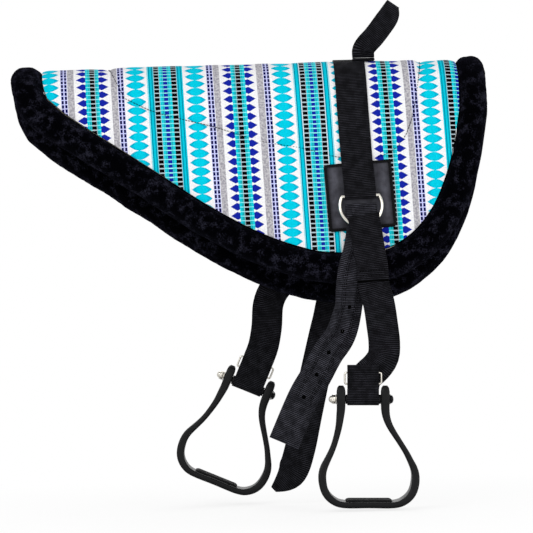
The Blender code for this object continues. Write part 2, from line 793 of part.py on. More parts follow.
def billet_stations():
    """Stations of the billet, from its sewn top on the patch to its square end."""
    top_run = dee_bar_depth + loop_radius + web_thickness / 2 + billet_top_gap
    low_run = patch_depth + patch_size / 2
    lift = patch_top + layer_gap + web_thickness / 2
    controls = []
    for share in (0.0, 0.5, 1.0):
        run = -blend(top_run, low_run, share)
        controls.append((skin(strap_middle(run), run, lift + hang_gap * share), along))
    depth = roll_face(-1) + hang_gap + web_thickness / 2
    for place, drop, tuck in billet_route_shares:
        x = strap_x + place * strap_drop
        controls.append((Vector((x, free_tuck * tuck - depth, crest_down(drop * strap_drop))), along))
    stations = smooth_stations(controls, hang_step / 2)
    twisted = []
    for i, (place, guide) in enumerate(stations):
        angle = billet_twist * line_value(twist_shares, i / (len(stations) - 1))
        twisted.append((place, along * math.cos(angle) + Vector((0, 1, 0)) * math.sin(angle)))
    return twisted


def station_frame(stations, i):
    before = stations[max(i - 1, 0)][0]
    after = stations[min(i + 1, len(stations) - 1)][0]
    path = (after - before).normalized()
    guide = stations[i][1]
    across = (guide - path * guide.dot(path)).normalized()
    return across, path, across.cross(path)


def lifted(stations, lift):
    return [(place + station_frame(stations, i)[2] * lift, guide) for i, (place, guide) in enumerate(stations)]


def lengths_of(stations):
    lengths = [0.0]
    for (a, _), (b, _) in zip(stations, stations[1:]):
        lengths.append(lengths[-1] + (b - a).length)
    return lengths


def make_billet():
    """Two-inch webbing with a narrower strip sewn on it, and holes punched through both."""
    stations = billet_stations()
    lengths = lengths_of(stations)
    strip = [station for station, length in zip(stations, lengths) if length < lengths[-1] - strip_end]
    lift = web_thickness / 2 + strip_gap + strip_thickness / 2
    inner = strip_width / web_width
    webbing = ribbon("off_billet", stations, web_thickness, "nylon_webbing", inner=inner)
    layer_strip = ribbon("off_billet_strip", lifted(strip, -lift), strip_thickness, "nylon_webbing", strip_width)
    cutter = bmesh.new()
    for k in range(hole_count):
        place = lengths[len(strip) - 1] - hole_margin - k * hole_pitch
        i = max(i for i in range(len(stations) - 1) if lengths[i] <= place)
        share = (place - lengths[i]) / (lengths[i + 1] - lengths[i])
        across = station_frame(stations, i)[0]
        middle = stations[i][0].lerp(stations[i + 1][0], share)
        path = (stations[i + 1][0] - stations[i][0]).normalized()
        face = across.cross(path).normalized()
        turn = Matrix((across, path, face)).transposed().to_4x4()
        bmesh.ops.create_cone(
            cutter,
            cap_ends=True,
            segments=8,
            radius1=hole_diameter / 2,
            radius2=hole_diameter / 2,
            depth=overrun * 2,
            matrix=Matrix.Translation(middle) @ turn,
        )
    bmesh.ops.recalc_face_normals(cutter, faces=cutter.faces)
    for obj in (webbing, layer_strip):
        seat_on(obj, stations[0][0])
    cut_all((webbing, layer_strip), cutter, "hole_punch")
    layer_strip.modifiers["hole_punch"].solver = "MANIFOLD"


def cut_all(objects, shape, name):
    mesh = bpy.data.meshes.new(name)
    shape.to_mesh(mesh)
    shape.free()
    punch = bpy.data.objects.new(name, mesh)
    bpy.context.collection.objects.link(punch)
    punch.hide_render = True
    punch.display_type = "WIRE"
    for obj in objects:
        cut = obj.modifiers.new(name, "BOOLEAN")
        cut.operation = "DIFFERENCE"
        cut.solver = "EXACT"
        cut.object = punch


def make_latigo():
    """The tie strap on the near side, with a tapered tip."""
    top_run = dee_bar_depth + loop_radius + web_thickness / 2 + latigo_top_gap
    low_run = patch_depth + patch_size / 2
    lift = patch_top + layer_gap + web_thickness / 2
    controls = []
    for share in (0.0, 0.5, 1.0):
        run = blend(top_run, low_run, share)
        controls.append((skin(strap_middle(run), run, lift + hang_gap * share), along))
    depth = roll_face(1) + hang_gap + web_thickness / 2
    for place, drop, tuck in latigo_route_shares:
        x = strap_x + place * strap_drop
        controls.append((Vector((x, depth - free_tuck * tuck, crest_down(drop * strap_drop))), along))
    stations = smooth_stations(controls, hang_step)
    lengths = lengths_of(stations)
    shares = []
    for length in lengths:
        taper = max(0.0, 1 - (lengths[-1] - length) / tip_length)
        shares.append((1 - taper * (1 - tip_share), 1 - taper**2 * (1 - tip_share / 2)))
    seat_on(ribbon("near_latigo", stations, web_thickness, "nylon_webbing", shares=shares), stations[0][0])


def frame_section(place, normal, thickness, depth):
    """A bar's section with its corners cut off, across its path."""
    half, deep, cut = thickness / 2, depth / 2, edge_chamfer
    corners = ((half, deep - cut), (half - cut, deep), (cut - half, deep), (-half, deep - cut))
    ring = [place + normal * a + Vector((0, b, 0)) for a, b in corners]
    return ring + [place + normal * a + Vector((0, -b, 0)) for a, b in reversed(corners)]


def make_stirrup(side):
    """The moulded frame in its own place: the bolt's axis along X at the origin, the tread below."""
    label = "off" if side < 0 else "near"
    lean = off_lean if side < 0 else near_lean
    place = Matrix.Translation(bolt_place(side)) @ Matrix.Rotation(lean, 4, "Y")
    path = []
    for x, z, thickness, depth in stirrup_shares:
        height = ear_rise - z * stirrup_height
        path.append((x * stirrup_width / 2, height, thickness * ear_thickness, depth * tread_depth))
    full = [(-x, z, t, d) for x, z, t, d in path] + path[-2::-1]
    points = []
    for x, z, thickness, depth in full:
        sink = min(1.0, max(0.0, -(z + ear_rise) / (stirrup_height * skew_share)))
        points.append((Vector((x + stirrup_skew * sink * sink * (3 - 2 * sink), 0, z)), thickness, depth))
    rings = []
    for i, (point, thickness, depth) in enumerate(points):
        before, after = points[max(i - 1, 0)][0], points[min(i + 1, len(points) - 1)][0]
        path_way = (after - before).normalized()
        if i in (0, 1, len(points) - 2, len(points) - 1):
            path_way = Vector((0, 0, -1 if i < 2 else 1))
        normal = Vector((path_way.z, 0, -path_way.x))
        rings.append(frame_section(point, normal, thickness, depth))
    frame = loft(label + "_stirrup", rings, "moulded_nylon")
    bore = bmesh.new()
    bmesh.ops.create_cone(
        bore,
        cap_ends=True,
        segments=round_sides,
        radius1=bolt_diameter / 2 + bolt_clearance,
        radius2=bolt_diameter / 2 + bolt_clearance,
        depth=stirrup_width,
        matrix=Matrix.Rotation(math.pi / 2, 4, "Y"),
    )
    cut_all((frame,), bore, label + "_bolt_bore")
    bpy.data.objects[label + "_bolt_bore"].matrix_world = place
    pieces = [frame, make_tread_pad(label)] + make_bolt_set(label)
    for piece in pieces:
        piece.matrix_world = place


pad_wall_share = 0.6


def make_tread_pad(label):
    """A rubber pad let down on the tread's flat top."""
    flat = stirrup_shares[-2][0] * stirrup_width - tread_pad_margin
    top = ear_rise - stirrup_shares[-1][1] * stirrup_height + stirrup_shares[-1][2] * ear_thickness / 2
    low = top + layer_gap
    half_depth = tread_depth / 2 - tread_pad_margin
    rings = []
    wall = tread_pad_thickness * pad_wall_share
    for height, inset in ((0.0, 0.0), (wall, 0.0), (tread_pad_thickness, edge_chamfer / 2)):
        x, y = flat / 2 - inset, half_depth - inset
        rings.append(
            [Vector((stirrup_skew + a * x, b * y, low + height)) for a, b in ((-1, -1), (1, -1), (1, 1), (-1, 1))]
        )
    return loft(label + "_tread_pad", rings, "rubber")


# The rounded corners of a hexagon, as a share of half its width
hex_corner_share = 1.12


def lathe(name, profile, material, corners=None):
    """A turned body about X from (x, radius) pairs; its first and last rings are capped."""
    rings = []
    for index, (x, radius) in enumerate(profile):
        ring = []
        for k in range(round_sides):
            angle = 2 * math.pi * k / round_sides
            reach = radius
            if corners and corners[index]:
                turn = (angle + math.pi / 6) % (math.pi / 3) - math.pi / 6
                reach = min(radius / math.cos(turn), radius * hex_corner_share)
            ring.append(Vector((x, reach * math.cos(angle), reach * math.sin(angle))))
        rings.append(ring)
    return loft(name, rings, material)


def tube(name, start, length, outer, inner, material):
    """A round tube or washer along X."""
    rings = []
    for k in range(round_sides):
        angle = 2 * math.pi * k / round_sides
        out = Vector((0, math.cos(angle), math.sin(angle)))
        corners = ((start, inner), (start + length, inner), (start + length, outer), (start, outer))
        rings.append([Vector((x, 0, 0)) + out * radius for x, radius in corners])
    return loft(name, rings, material, closed=True)


# The bolt's point, and the rounded head and nut as shares of their height and half their width
point_share = 0.8
head_shares = ((0.5, 1.0), (0.85, 0.75), (1.0, 0.35))
dome_shares = ((0.0, 0.92), (0.5, 0.8), (0.85, 0.5), (1.0, 0.15))


def make_bolt_set(label):
    """The bolt through both ears, its washers, the tube that the strap runs on, and the domed nut."""
    outside = ear_middle + ear_thickness / 2
    seat = outside + layer_gap + washer_thickness + layer_gap
    shank = bolt_diameter / 2
    tip = -(seat + nut_height)
    head = head_diameter / 2
    bolt = lathe(
        label + "_bolt",
        (
            (tip, shank * point_share), (tip + shank * (1 - point_share), shank), (seat, shank), (seat, head),
            *((seat + head_height * rise, head * reach) for rise, reach in head_shares),
        ),
        "nickel_plate",
    )
    bore = shank + bolt_clearance
    half_nut = nut_width / 2
    face, back = -seat, -(seat + nut_height)
    nut = lathe(
        label + "_nut",
        (
            (tip - layer_gap, bore), (face, bore), (face, half_nut), (back, half_nut),
            *((back - dome_height * rise, half_nut * reach) for rise, reach in dome_shares),
        ),
        "nickel_plate",
        corners=(False, False, True, True) + (False,) * len(dome_shares),
    )
    half_gap = ear_gap / 2 - layer_gap
    spacer = tube(
        label + "_tube", -half_gap, half_gap * 2, tube_diameter / 2, tube_diameter / 2 - tube_wall,
        "nylon_tube",
    )
    washers = []
    for end, start in (("head", outside + layer_gap), ("nut", -outside - layer_gap - washer_thickness)):
        name = f"{label}_{end}_washer"
        washers.append(tube(name, start, washer_thickness, washer_diameter / 2, bore, "nickel_plate"))
    return [bolt, nut, spacer] + washers


# The handle's lean along X at shares of its height, and half the gap between its two legs
handle_lean_shares = ((0.0, 0.0), (0.1, 0.0), (0.22, 0.07), (0.42, 0.26), (0.78, 0.54), (1.0, 0.70))
handle_gap_shares = ((0.0, 0.0), (0.12, 0.25), (0.45, 1.0), (0.8, 0.8), (1.0, 0.55))
handle_steps = 10
handle_arc_steps = 4
slope_share = 0.05


def crest_top():
    return skin(handle_x, -pad_slip, strap_bed(0) + strap_lift + web_thickness + layer_gap)


def handle_pivot():
    return crest_top() + up * (anchor_thickness + layer_gap + handle_bead + web_thickness / 2)


def make_handle():
    """A webbing loop that stands on a sewn tab over the crest and leans to the front."""
    pivot = handle_pivot()
    legs = []
    for i in range(handle_steps + 1):
        share = i / handle_steps
        height = blend(0.0, handle_height, share)
        lean = curve_value(handle_lean_shares, share) * handle_height
        below, above = max(share - slope_share, 0.0), min(share + slope_share, 1.0)
        rise = curve_value(handle_lean_shares, above) - curve_value(handle_lean_shares, below)
        guide = Vector((1, 0, -rise / (above - below))).normalized()
        gap = blend(handle_bead, handle_bow, curve_value(handle_gap_shares, share))
        legs.append((Vector((lean, gap, height)), guide))
    stations = [(pivot + Vector((p.x, -p.y, p.z)), guide) for p, guide in legs]
    last, guide = legs[-1]
    rise = guide.cross(Vector((0, 1, 0)))
    for i in range(1, handle_arc_steps):
        angle = math.pi * i / handle_arc_steps
        middle = pivot + Vector((last.x, 0, last.z)) + rise * last.y * math.sin(angle)
        stations.append((middle - Vector((0, last.y * math.cos(angle), 0)), guide))
    stations += [(pivot + p, guide) for p, guide in reversed(legs)]
    for i in range(1, handle_arc_steps):
        angle = math.pi * i / handle_arc_steps
        stations.append(
            (pivot + Vector((0, math.cos(angle), -math.sin(angle))) * handle_bead, along)
        )
    seat_on(ribbon("grab_handle", stations, web_thickness, "nylon_webbing", handle_width, closed=True), pivot)
    rings = []
    for share in (-1, -0.5, 0, 0.5, 1):
        run = share * anchor_length / 2 - pad_slip
        low = strap_bed(0) + strap_lift + web_thickness + layer_gap
        half = handle_width / 2
        rings.append(
            [
                skin(handle_x - half, run, low),
                skin(handle_x + half, run, low),
                skin(handle_x + half, run, low + anchor_thickness),
                skin(handle_x - half, run, low + anchor_thickness),
            ]
        )
    loft("handle_anchor", rings, "nylon_webbing")


def make_all():
    clear_scene()
    make_pad()
    make_over_strap()
    make_handle()
    for label, side in (("off", -1), ("near", 1)):
        make_patch(label + "_patch", side)
        make_dee(label + "_dee", side)
        make_stirrup_strap(label + "_stirrup_strap", label + "_strap_slide", side)
        make_stirrup(side)
    make_billet()
    make_latigo()


make_all()
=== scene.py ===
"""Looks of a bareback pad: a quilted pad in a striped cotton weave with a plush roll, black webbing,
leather patches, nickel dees and moulded stirrups. Lengths are in metres, +Z is up."""

import math

import bmesh
import bpy
import numpy as np
from mathutils import Matrix, Vector, noise


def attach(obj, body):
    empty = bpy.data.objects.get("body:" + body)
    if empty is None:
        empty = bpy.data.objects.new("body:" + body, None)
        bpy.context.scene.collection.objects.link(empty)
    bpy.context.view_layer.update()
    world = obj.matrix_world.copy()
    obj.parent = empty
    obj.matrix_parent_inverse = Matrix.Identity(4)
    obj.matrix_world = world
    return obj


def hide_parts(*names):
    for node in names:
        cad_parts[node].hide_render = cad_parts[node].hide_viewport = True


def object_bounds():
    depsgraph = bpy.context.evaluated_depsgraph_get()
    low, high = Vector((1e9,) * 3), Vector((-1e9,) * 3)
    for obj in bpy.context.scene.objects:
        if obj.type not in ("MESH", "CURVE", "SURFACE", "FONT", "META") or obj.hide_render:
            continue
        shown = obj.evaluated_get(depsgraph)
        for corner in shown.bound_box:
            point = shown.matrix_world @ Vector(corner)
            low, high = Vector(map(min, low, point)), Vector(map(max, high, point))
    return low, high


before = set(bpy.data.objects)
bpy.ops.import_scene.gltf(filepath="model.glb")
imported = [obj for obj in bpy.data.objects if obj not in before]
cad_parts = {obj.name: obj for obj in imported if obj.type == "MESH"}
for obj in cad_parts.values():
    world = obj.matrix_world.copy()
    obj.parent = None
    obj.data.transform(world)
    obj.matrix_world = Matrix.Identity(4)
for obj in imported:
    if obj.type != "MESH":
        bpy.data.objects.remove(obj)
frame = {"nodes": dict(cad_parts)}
cad_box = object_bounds()

MM = 0.001
up = Vector((0, 0, 1))
along = Vector((1, 0, 0))
both_sides = ((-1, "off"), (1, "near"))
smooth_angle = math.radians(50)

# The pad's fold and outline, as the solids have them
pad_length = 676 * MM
pad_half_width = 356.5 * MM
pad_slip = 16.5 * MM
pad_thickness = 18.2 * MM
fold_angle = math.radians(86)
fold_length = 50 * MM
side_shares = (
    (-0.973, 0.252), (-0.88, 0.336), (-0.675, 0.471), (-0.440, 0.622), (-0.204, 0.774), (0.040, 0.902),
    (0.265, 0.980), (0.382, 0.996), (0.524, 0.999), (0.645, 0.978), (0.754, 0.916), (0.843, 0.820),
    (0.905, 0.705), (0.959, 0.548), (0.997, 0.360),
)
tail_shares = ((0.0, -1.0), (0.12, -1.0), (0.196, -0.991), (0.252, -0.973))
front_shares = ((0.0, 0.985), (0.14, 0.996), (0.24, 1.0), (0.36, 0.997))
seat_tail_shares = ((0.0, -0.692), (0.13, -0.660), (0.263, -0.605))
seat_front_shares = ((0.0, 0.820), (0.13, 0.818), (0.378, 0.775), (0.47, 0.740))
seat_side_shares = (
    (-0.605, 0.263), (-0.460, 0.334), (-0.170, 0.414), (0.040, 0.482), (0.250, 0.522), (0.420, 0.567),
    (0.580, 0.575), (0.690, 0.530), (0.740, 0.470),
)
lining_thickness = 4 * MM
cover_thickness = 1.6 * MM
seat_height = 3.3 * MM
quilt_depth = 2 * MM
quilt_reach = 12 * MM
flap_swell = 1.8 * MM
groove_reach = 5 * MM
edge_draw = 3 * MM
edge_reach = 22 * MM
cover_step = 4 * MM
lining_step = 7 * MM

# The plush roll
roll_width = 50 * MM
roll_width_shares = ((-1.0, 1.08), (-0.85, 1.02), (-0.5, 1.0), (0.9, 1.03), (1.0, 0.95))
roll_height = 39 * MM
roll_wall = 3 * MM
roll_mouth = math.radians(160)
roll_step = 4 * MM
roll_swell = 1.5 * MM
roll_dents = 0.7 * MM
roll_shrink = 1.3 * MM

# Strap over the seat, its patches and dees
web_width = 50.8 * MM
web_thickness = 2 * MM
end_shadow_length = 2.6 * MM
layer_gap = 0.3 * MM
strap_x = pad_length / 2 - 173 * MM
strap_lean = 0.03
strap_lift = 0.6 * MM
bed_gap = 1.1 * MM
strap_return = 45 * MM
patch_size = 109 * MM
patch_thickness = 3 * MM
patch_groove = 4.3 * MM
patch_seam = 4.5 * MM
patch_depth = 265.5 * MM
off_patch_turn = 0.035
dee_bar_depth = 266.5 * MM
dee_wire = 5.5 * MM
dee_radius = 34 * MM
dee_bar_rise = 16 * MM
wire_gap = 0.35 * MM
patch_top = strap_lift + patch_thickness
return_lift = patch_top + layer_gap + web_thickness / 2
loop_radius = dee_wire / 2 + wire_gap + web_thickness / 2
bar_lift = return_lift + loop_radius
# How far below the arc's middle the strap's edges meet the dee's wire
dee_seat = math.sqrt((dee_radius - dee_wire / 2) ** 2 - (web_width / 2) ** 2)
# The strap lies a little further back on the seat than straight across: (run, way) pairs
seat_shift = ((0.0, -4.5 * MM), (120 * MM, -4 * MM), (200 * MM, -2.5 * MM), (250 * MM, 0.0))

# Straps that hang
hang_gap = 1.2 * MM
turn_back = 89 * MM
billet_top_gap = 7.2 * MM
latigo_top_gap = 16 * MM
strip_width = 29 * MM
strip_thickness = 1.6 * MM
strip_gap = 0.8 * MM
strip_end = 70 * MM
hole_radius = 2.5 * MM
drawn_hole = hole_radius * 1.35
narrow_webbing_hole = hole_radius * 0.36
first_hole = 10 * MM
hole_pitch = 41.5 * MM
billet_twist = math.radians(28)
latigo_taper = 45 * MM
hang_step = 7 * MM
slide_wire = 3 * MM
slide_width = 58.6 * MM
slide_height = 18 * MM
slide_clear = 1 * MM
tail_over = 9 * MM

# Stirrups
stirrup_width = 161 * MM
stirrup_height = 197 * MM
stirrup_skew = 9 * MM
skew_share = 0.35
frame_corner = 3.2 * MM
ear_rise = 22 * MM
ear_thickness = 14 * MM
tread_depth = 66 * MM
bolt_diameter = 8 * MM
bore_gap = 0.3 * MM
tube_diameter = 15 * MM
tube_wall = 1.8 * MM
washer_thickness = 1.2 * MM
washer_diameter = 16 * MM
head_diameter = 13.5 * MM
head_height = 4.5 * MM
nut_width = 13 * MM
nut_height = 6 * MM
dome_height = 5 * MM
tread_pad_thickness = 3 * MM
tread_margin = 6 * MM

# Grab handle
handle_width = 36 * MM
handle_x = strap_x + 21 * MM
handle_rise = 13.35 * MM
handle_height = 73 * MM
handle_bead = 3.5 * MM
handle_bow = 10 * MM
anchor_length = 30 * MM
anchor_thickness = 2 * MM

# Thread: stitches start so far from a strap's edge; a stitch's rings as (way along it, width, rise) shares
stitch_inset = 4 * MM
stitch_rings = ((0.0, 0.35, -0.4), (0.18, 0.9, 0.35), (0.5, 1.0, 0.6), (0.82, 0.9, 0.35), (1.0, 0.35, -0.4))

# The print's repeat across and along its columns, the place of a blue column, its lean, and the parts that
# a repeat was measured in
print_repeat = 237 * MM
print_pitch = 14.65 * MM
print_start = 96 * MM
print_lean = math.tan(math.radians(2.5))
print_parts = 230.6

# Length of one wave of a wave texture at a scale of 1
wave_share = 0.314

# Studio
lamp_aim = Vector((0, 0, -0.3))
floor_back = 3.0


def deselect():
    for obj in bpy.context.selected_objects:
        obj.select_set(False)


def select(obj):
    deselect()
    obj.select_set(True)
    bpy.context.view_layer.objects.active = obj


def link_new(name, data):
    """A new object in the scene."""
    obj = bpy.data.objects.new(name, data)
    bpy.context.collection.objects.link(obj)
    return obj


def face_outwards(shape):
    bmesh.ops.recalc_face_normals(shape, faces=shape.faces)
    if shape.calc_volume(signed=True) < 0:
        bmesh.ops.reverse_faces(shape, faces=shape.faces)


def make_piece(name, points, faces, body, finish, nodes=(), maps=None):
    """A closed piece of the object, riding on a body; maps are its points' places on the flat cloth."""
    mesh = bpy.data.meshes.new(name)
    mesh.from_pydata([tuple(point) for point in points], [], faces)
    mesh.materials.append(finish)
    obj = link_new(name, mesh)
    select(obj)
    bpy.ops.object.shade_smooth_by_angle(angle=smooth_angle)
    shape = bmesh.new()
    shape.from_mesh(mesh)
    face_outwards(shape)
    if maps:
        cloth = shape.loops.layers.uv.new("cloth")
        for face in shape.faces:
            for loop in face.loops:
                loop[cloth].uv = maps[loop.vert.index]
    shape.to_mesh(mesh)
    shape.free()
    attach(obj, body)
    if nodes:
        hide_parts(*nodes)
    return obj


def circle(sides, radius):
    """Places round a circle."""
    angles = [2 * math.pi * k / sides for k in range(sides)]
    return [(radius * math.cos(angle), radius * math.sin(angle)) for angle in angles]


def rounded_section(width, depth, corner, steps):
    """Places round a rectangle with rounded corners."""
    half, deep = width / 2, depth / 2
    corner = min(corner, half * 0.95, deep * 0.95)
    ring = []
    for sx, sy, start in ((1, 1, 0), (-1, 1, 1), (-1, -1, 2), (1, -1, 3)):
        for k in range(steps + 1):
            angle = math.pi / 2 * (start + k / steps)
            ring.append((sx * (half - corner) + math.cos(angle) * corner,
                         sy * (deep - corner) + math.sin(angle) * corner))
    return ring


def loft(rows, sides, closed=False):
    """Faces of rings in a closed round or with caps, which are wound against the sides for sharp edges."""
    faces = []
    for i in range(rows if closed else rows - 1):
        this, following = i * sides, (i + 1) % rows * sides
        for k in range(sides):
            faces.append((this + k, this + (k + 1) % sides, following + (k + 1) % sides, following + k))
    if not closed:
        faces += [tuple(range(sides)), tuple(reversed(range((rows - 1) * sides, rows * sides)))]
    return faces


def rim_numbers(rows, columns):
    """Numbers of a grid's outer places in one round."""
    rim = list(range(columns)) + [i * columns + columns - 1 for i in range(1, rows)]
    rim += [(rows - 1) * columns + k for k in range(columns - 2, -1, -1)]
    return rim + [i * columns for i in range(rows - 2, 0, -1)]


def sheet_faces(rows, columns):
    """Faces of a top and a bottom grid and their rim, which is turned against them to keep sharp edges."""
    size, faces = rows * columns, []
    for i in range(rows - 1):
        for k in range(columns - 1):
            a, b = i * columns + k, (i + 1) * columns + k
            faces.append((a, a + 1, b + 1, b))
            faces.append((size + a, size + b, size + b + 1, size + a + 1))
    rim = rim_numbers(rows, columns)
    return faces + [(a, b, size + b, size + a) for a, b in zip(rim, rim[1:] + rim[:1])]


def drill(obj, places, radius, depth, segments):
    """Cuts round holes through an object, each along the Z axis of its place."""
    shape = bmesh.new()
    for place in places:
        bmesh.ops.create_cone(shape, cap_ends=True, segments=segments, radius1=radius, radius2=radius,
                              depth=depth, matrix=place)
    face_outwards(shape)
    mesh = bpy.data.meshes.new("drill")
    shape.to_mesh(mesh)
    shape.free()
    tool = link_new("drill", mesh)
    cut = obj.modifiers.new("drill", "BOOLEAN")
    cut.operation, cut.solver, cut.object = "DIFFERENCE", "EXACT", tool
    select(obj)
    bpy.ops.object.modifier_apply(modifier=cut.name)
    bpy.data.objects.remove(tool)


# Materials
def linear(code):
    """Linear colour of an sRGB hex value."""
    channels = [int(code[i:i + 2], 16) / 255 for i in (1, 3, 5)]
    return [c / 12.92 if c <= 0.04045 else ((c + 0.055) / 1.055) ** 2.4 for c in channels] + [1.0]


def fill(tree, node, inputs):
    """Sets a node's inputs, by number or name, to values or to links from other nodes' outputs."""
    for socket, value in inputs.items() if isinstance(inputs, dict) else enumerate(inputs):
        if isinstance(value, bpy.types.NodeSocket):
            tree.links.new(value, node.inputs[socket])
        else:
            node.inputs[socket].default_value = value


def add(tree, kind, inputs=(), output=0, **settings):
    """An output of a new node with its settings and inputs."""
    node = tree.nodes.new("ShaderNode" + kind)
    for name, value in settings.items():
        setattr(node, name, value)
    fill(tree, node, inputs)
    return node.outputs[output]


def new_material(name, colour, roughness, metallic=0.0, **sockets):
    """A material with its shader's own values set, and its tree to work on."""
    made = bpy.data.materials.new(name)
    made.use_nodes = True
    tree = made.node_tree
    shader = tree.nodes["Principled BSDF"]
    fill(tree, shader, {"Base Color": linear(colour), "Roughness": roughness, "Metallic": metallic})
    fill(tree, shader, {socket.replace("_", " "): value for socket, value in sockets.items()})
    return made, tree, shader


def printed_cotton():
    """Woven cotton with a dyed stripe: matt, with a fine thread that breaks up the edges of the print."""
    made, tree, shader = new_material("printed_cotton", "#F4F4F6", 0.95, Specular_IOR_Level=0.05)
    uv = add(tree, "UVMap", uv_map="cloth")
    parts = add(tree, "SeparateXYZ", (uv,)).node.outputs
    # Threads are drawn 0.7 mm wide so that they show: the pattern's edges step by one thread
    thread_width = 0.7 * MM
    place = add(tree, "Math", (parts["X"], print_start), operation="SUBTRACT")
    place = add(tree, "Math", (place, thread_width), operation="SNAP")
    run = add(tree, "Math", (parts["Y"], thread_width / 2), operation="SNAP")
    # The way runs from a blue column's middle to the next black one's, in parts as measured off the photo
    way = add(tree, "Math", (place, print_repeat / 2), operation="PINGPONG")
    way = add(tree, "Math", (way, print_parts / print_repeat), operation="MULTIPLY")
    rise = add(tree, "Math", (run, print_pitch / 2), operation="PINGPONG")
    rise = add(tree, "Math", (rise, 2 / print_pitch), operation="MULTIPLY")

    def between(low, high):
        """The column between two ways."""
        above = add(tree, "Math", (way, low), operation="GREATER_THAN")
        below = add(tree, "Math", (way, high), operation="LESS_THAN")
        return add(tree, "Math", (above, below), operation="MULTIPLY")

    def blocks(share):
        """Blocks along a column, two to each pitch of the lenses."""
        phase = add(tree, "Math", (run, print_pitch / 2), operation="DIVIDE")
        phase = add(tree, "Math", (phase, 40), operation="ADD")
        phase = add(tree, "Math", (phase,), operation="FRACT")
        return add(tree, "Math", (phase, share), operation="LESS_THAN")

    squares, small, tall = blocks(0.74), blocks(0.76), blocks(0.86)
    # Lenses stand in the white column round 46.9, with a darker tip at both ends
    ridge = add(tree, "Math", (way, 46.9), operation="SUBTRACT")
    ridge = add(tree, "Math", (ridge,), operation="ABSOLUTE")
    ridge = add(tree, "Math", (ridge, 15.6), operation="DIVIDE")
    lens = add(tree, "Math", (ridge, 1.9), operation="POWER")
    lens = add(tree, "Math", (1.0, lens), operation="SUBTRACT")
    lens = add(tree, "Math", (rise, lens), operation="LESS_THAN")
    tip = add(tree, "Math", (rise, 0.35, ridge), operation="MULTIPLY_ADD")
    tip = add(tree, "Math", (tip, 0.62), operation="GREATER_THAN")
    # Teeth grow from the dark column's edge at 104.5 towards 90
    reach = add(tree, "Math", (104.5, way), operation="SUBTRACT")
    reach = add(tree, "Math", (reach, 14.3), operation="DIVIDE")
    foot = add(tree, "Math", (reach, 0.8, 0.62), operation="MULTIPLY_ADD")
    point = add(tree, "Math", (1.03, reach), operation="SUBTRACT")
    point = add(tree, "Math", (point, 1.2), operation="MULTIPLY")
    tooth = add(tree, "Math", (foot, point), operation="MINIMUM")
    tooth = add(tree, "Math", (rise, tooth), operation="LESS_THAN")
    colour = linear("#F4F4F6")
    # Each column's colour, the ways it lies between and the shapes it is cut to, from the ground up
    for code, low, high, *shapes in (
        ("#C6C4C8", 76.0, 86.0), ("#C9CCFB", 65.4, 75.4),
        ("#9AF2F4", -1.0, 9.3), ("#1424A0", -1.0, 3.4, squares), ("#2EDDE8", 3.4, 9.3, tall),
        ("#18A9B2", 3.9, 6.4, squares), ("#00C8DA", 6.9, 9.0, squares),
        ("#B4C6CE", 9.3, 18.1), ("#020204", 9.9, 17.6, squares),
        ("#00C4DA", 18.6, 28.3), ("#047E98", 19.7, 21.0), ("#047E98", 24.8, 26.1), ("#C8F4F8", 27.0, 27.6),
        ("#00CCE4", 31.0, 62.8, lens), ("#00B4D2", 31.0, 62.8, lens, tip),
        ("#0C0C4C", 65.9, 69.3, small), ("#0C0C4C", 71.5, 74.9, small),
        ("#1424A0", 90.0, 104.5, tooth),
        ("#9AF2F4", 104.5, 111.3), ("#2EDDE8", 104.5, 111.3, tall), ("#00C8DA", 104.9, 107.4, squares),
        ("#18A9B2", 107.9, 110.9, squares),
        ("#B4C6CE", 111.3, 120.0), ("#020204", 111.6, 120.0, squares),
    ):
        factor = between(low, high)
        for shape in shapes:
            factor = add(tree, "Math", (factor, shape), operation="MULTIPLY")
        colour = add(tree, "Mix", {"Factor": factor, "A": colour, "B": linear(code)}, "Result",
                     data_type="RGBA")
    # The grey stripes are spun from mixed threads, so they show short flecks
    heather = add(tree, "TexNoise", {"Vector": uv, "Scale": 1 / (3.5 * MM), "Detail": 3.0})
    heather = add(tree, "MapRange", (heather, 0.42, 0.58))
    heather = add(tree, "Math", (heather, between(76.0, 86.0)), operation="MULTIPLY")
    colour = add(tree, "Mix", {"Factor": heather, "A": colour, "B": linear("#9C9AA2")}, "Result",
                 data_type="RGBA")
    fleck = add(tree, "TexNoise", {"Vector": uv, "Scale": 1 / (2.2 * MM), "Detail": 2.0})
    tone = add(tree, "MapRange", (fleck, 0.3, 0.7, 0.76, 0.94))
    colour = add(tree, "Mix", {"Factor": 1.0, "A": colour, "B": tone}, "Result", data_type="RGBA",
                 blend_type="MULTIPLY")
    # Threads are about 0.5 mm apart: drawn 2.8 mm apart so that they show
    warp, weft = (add(tree, "TexWave", {"Vector": uv, "Scale": wave_share / (2.8 * MM)}, "Fac",
                      bands_direction=direction) for direction in "XY")
    weave = add(tree, "Math", (warp, weft), operation="MAXIMUM")
    weave = add(tree, "Math", (weave, fleck), operation="ADD")
    relief = add(tree, "Bump", {"Strength": 0.3, "Distance": 0.4 * MM, "Height": weave})
    fill(tree, shader, {"Base Color": colour, "Normal": relief})
    return made


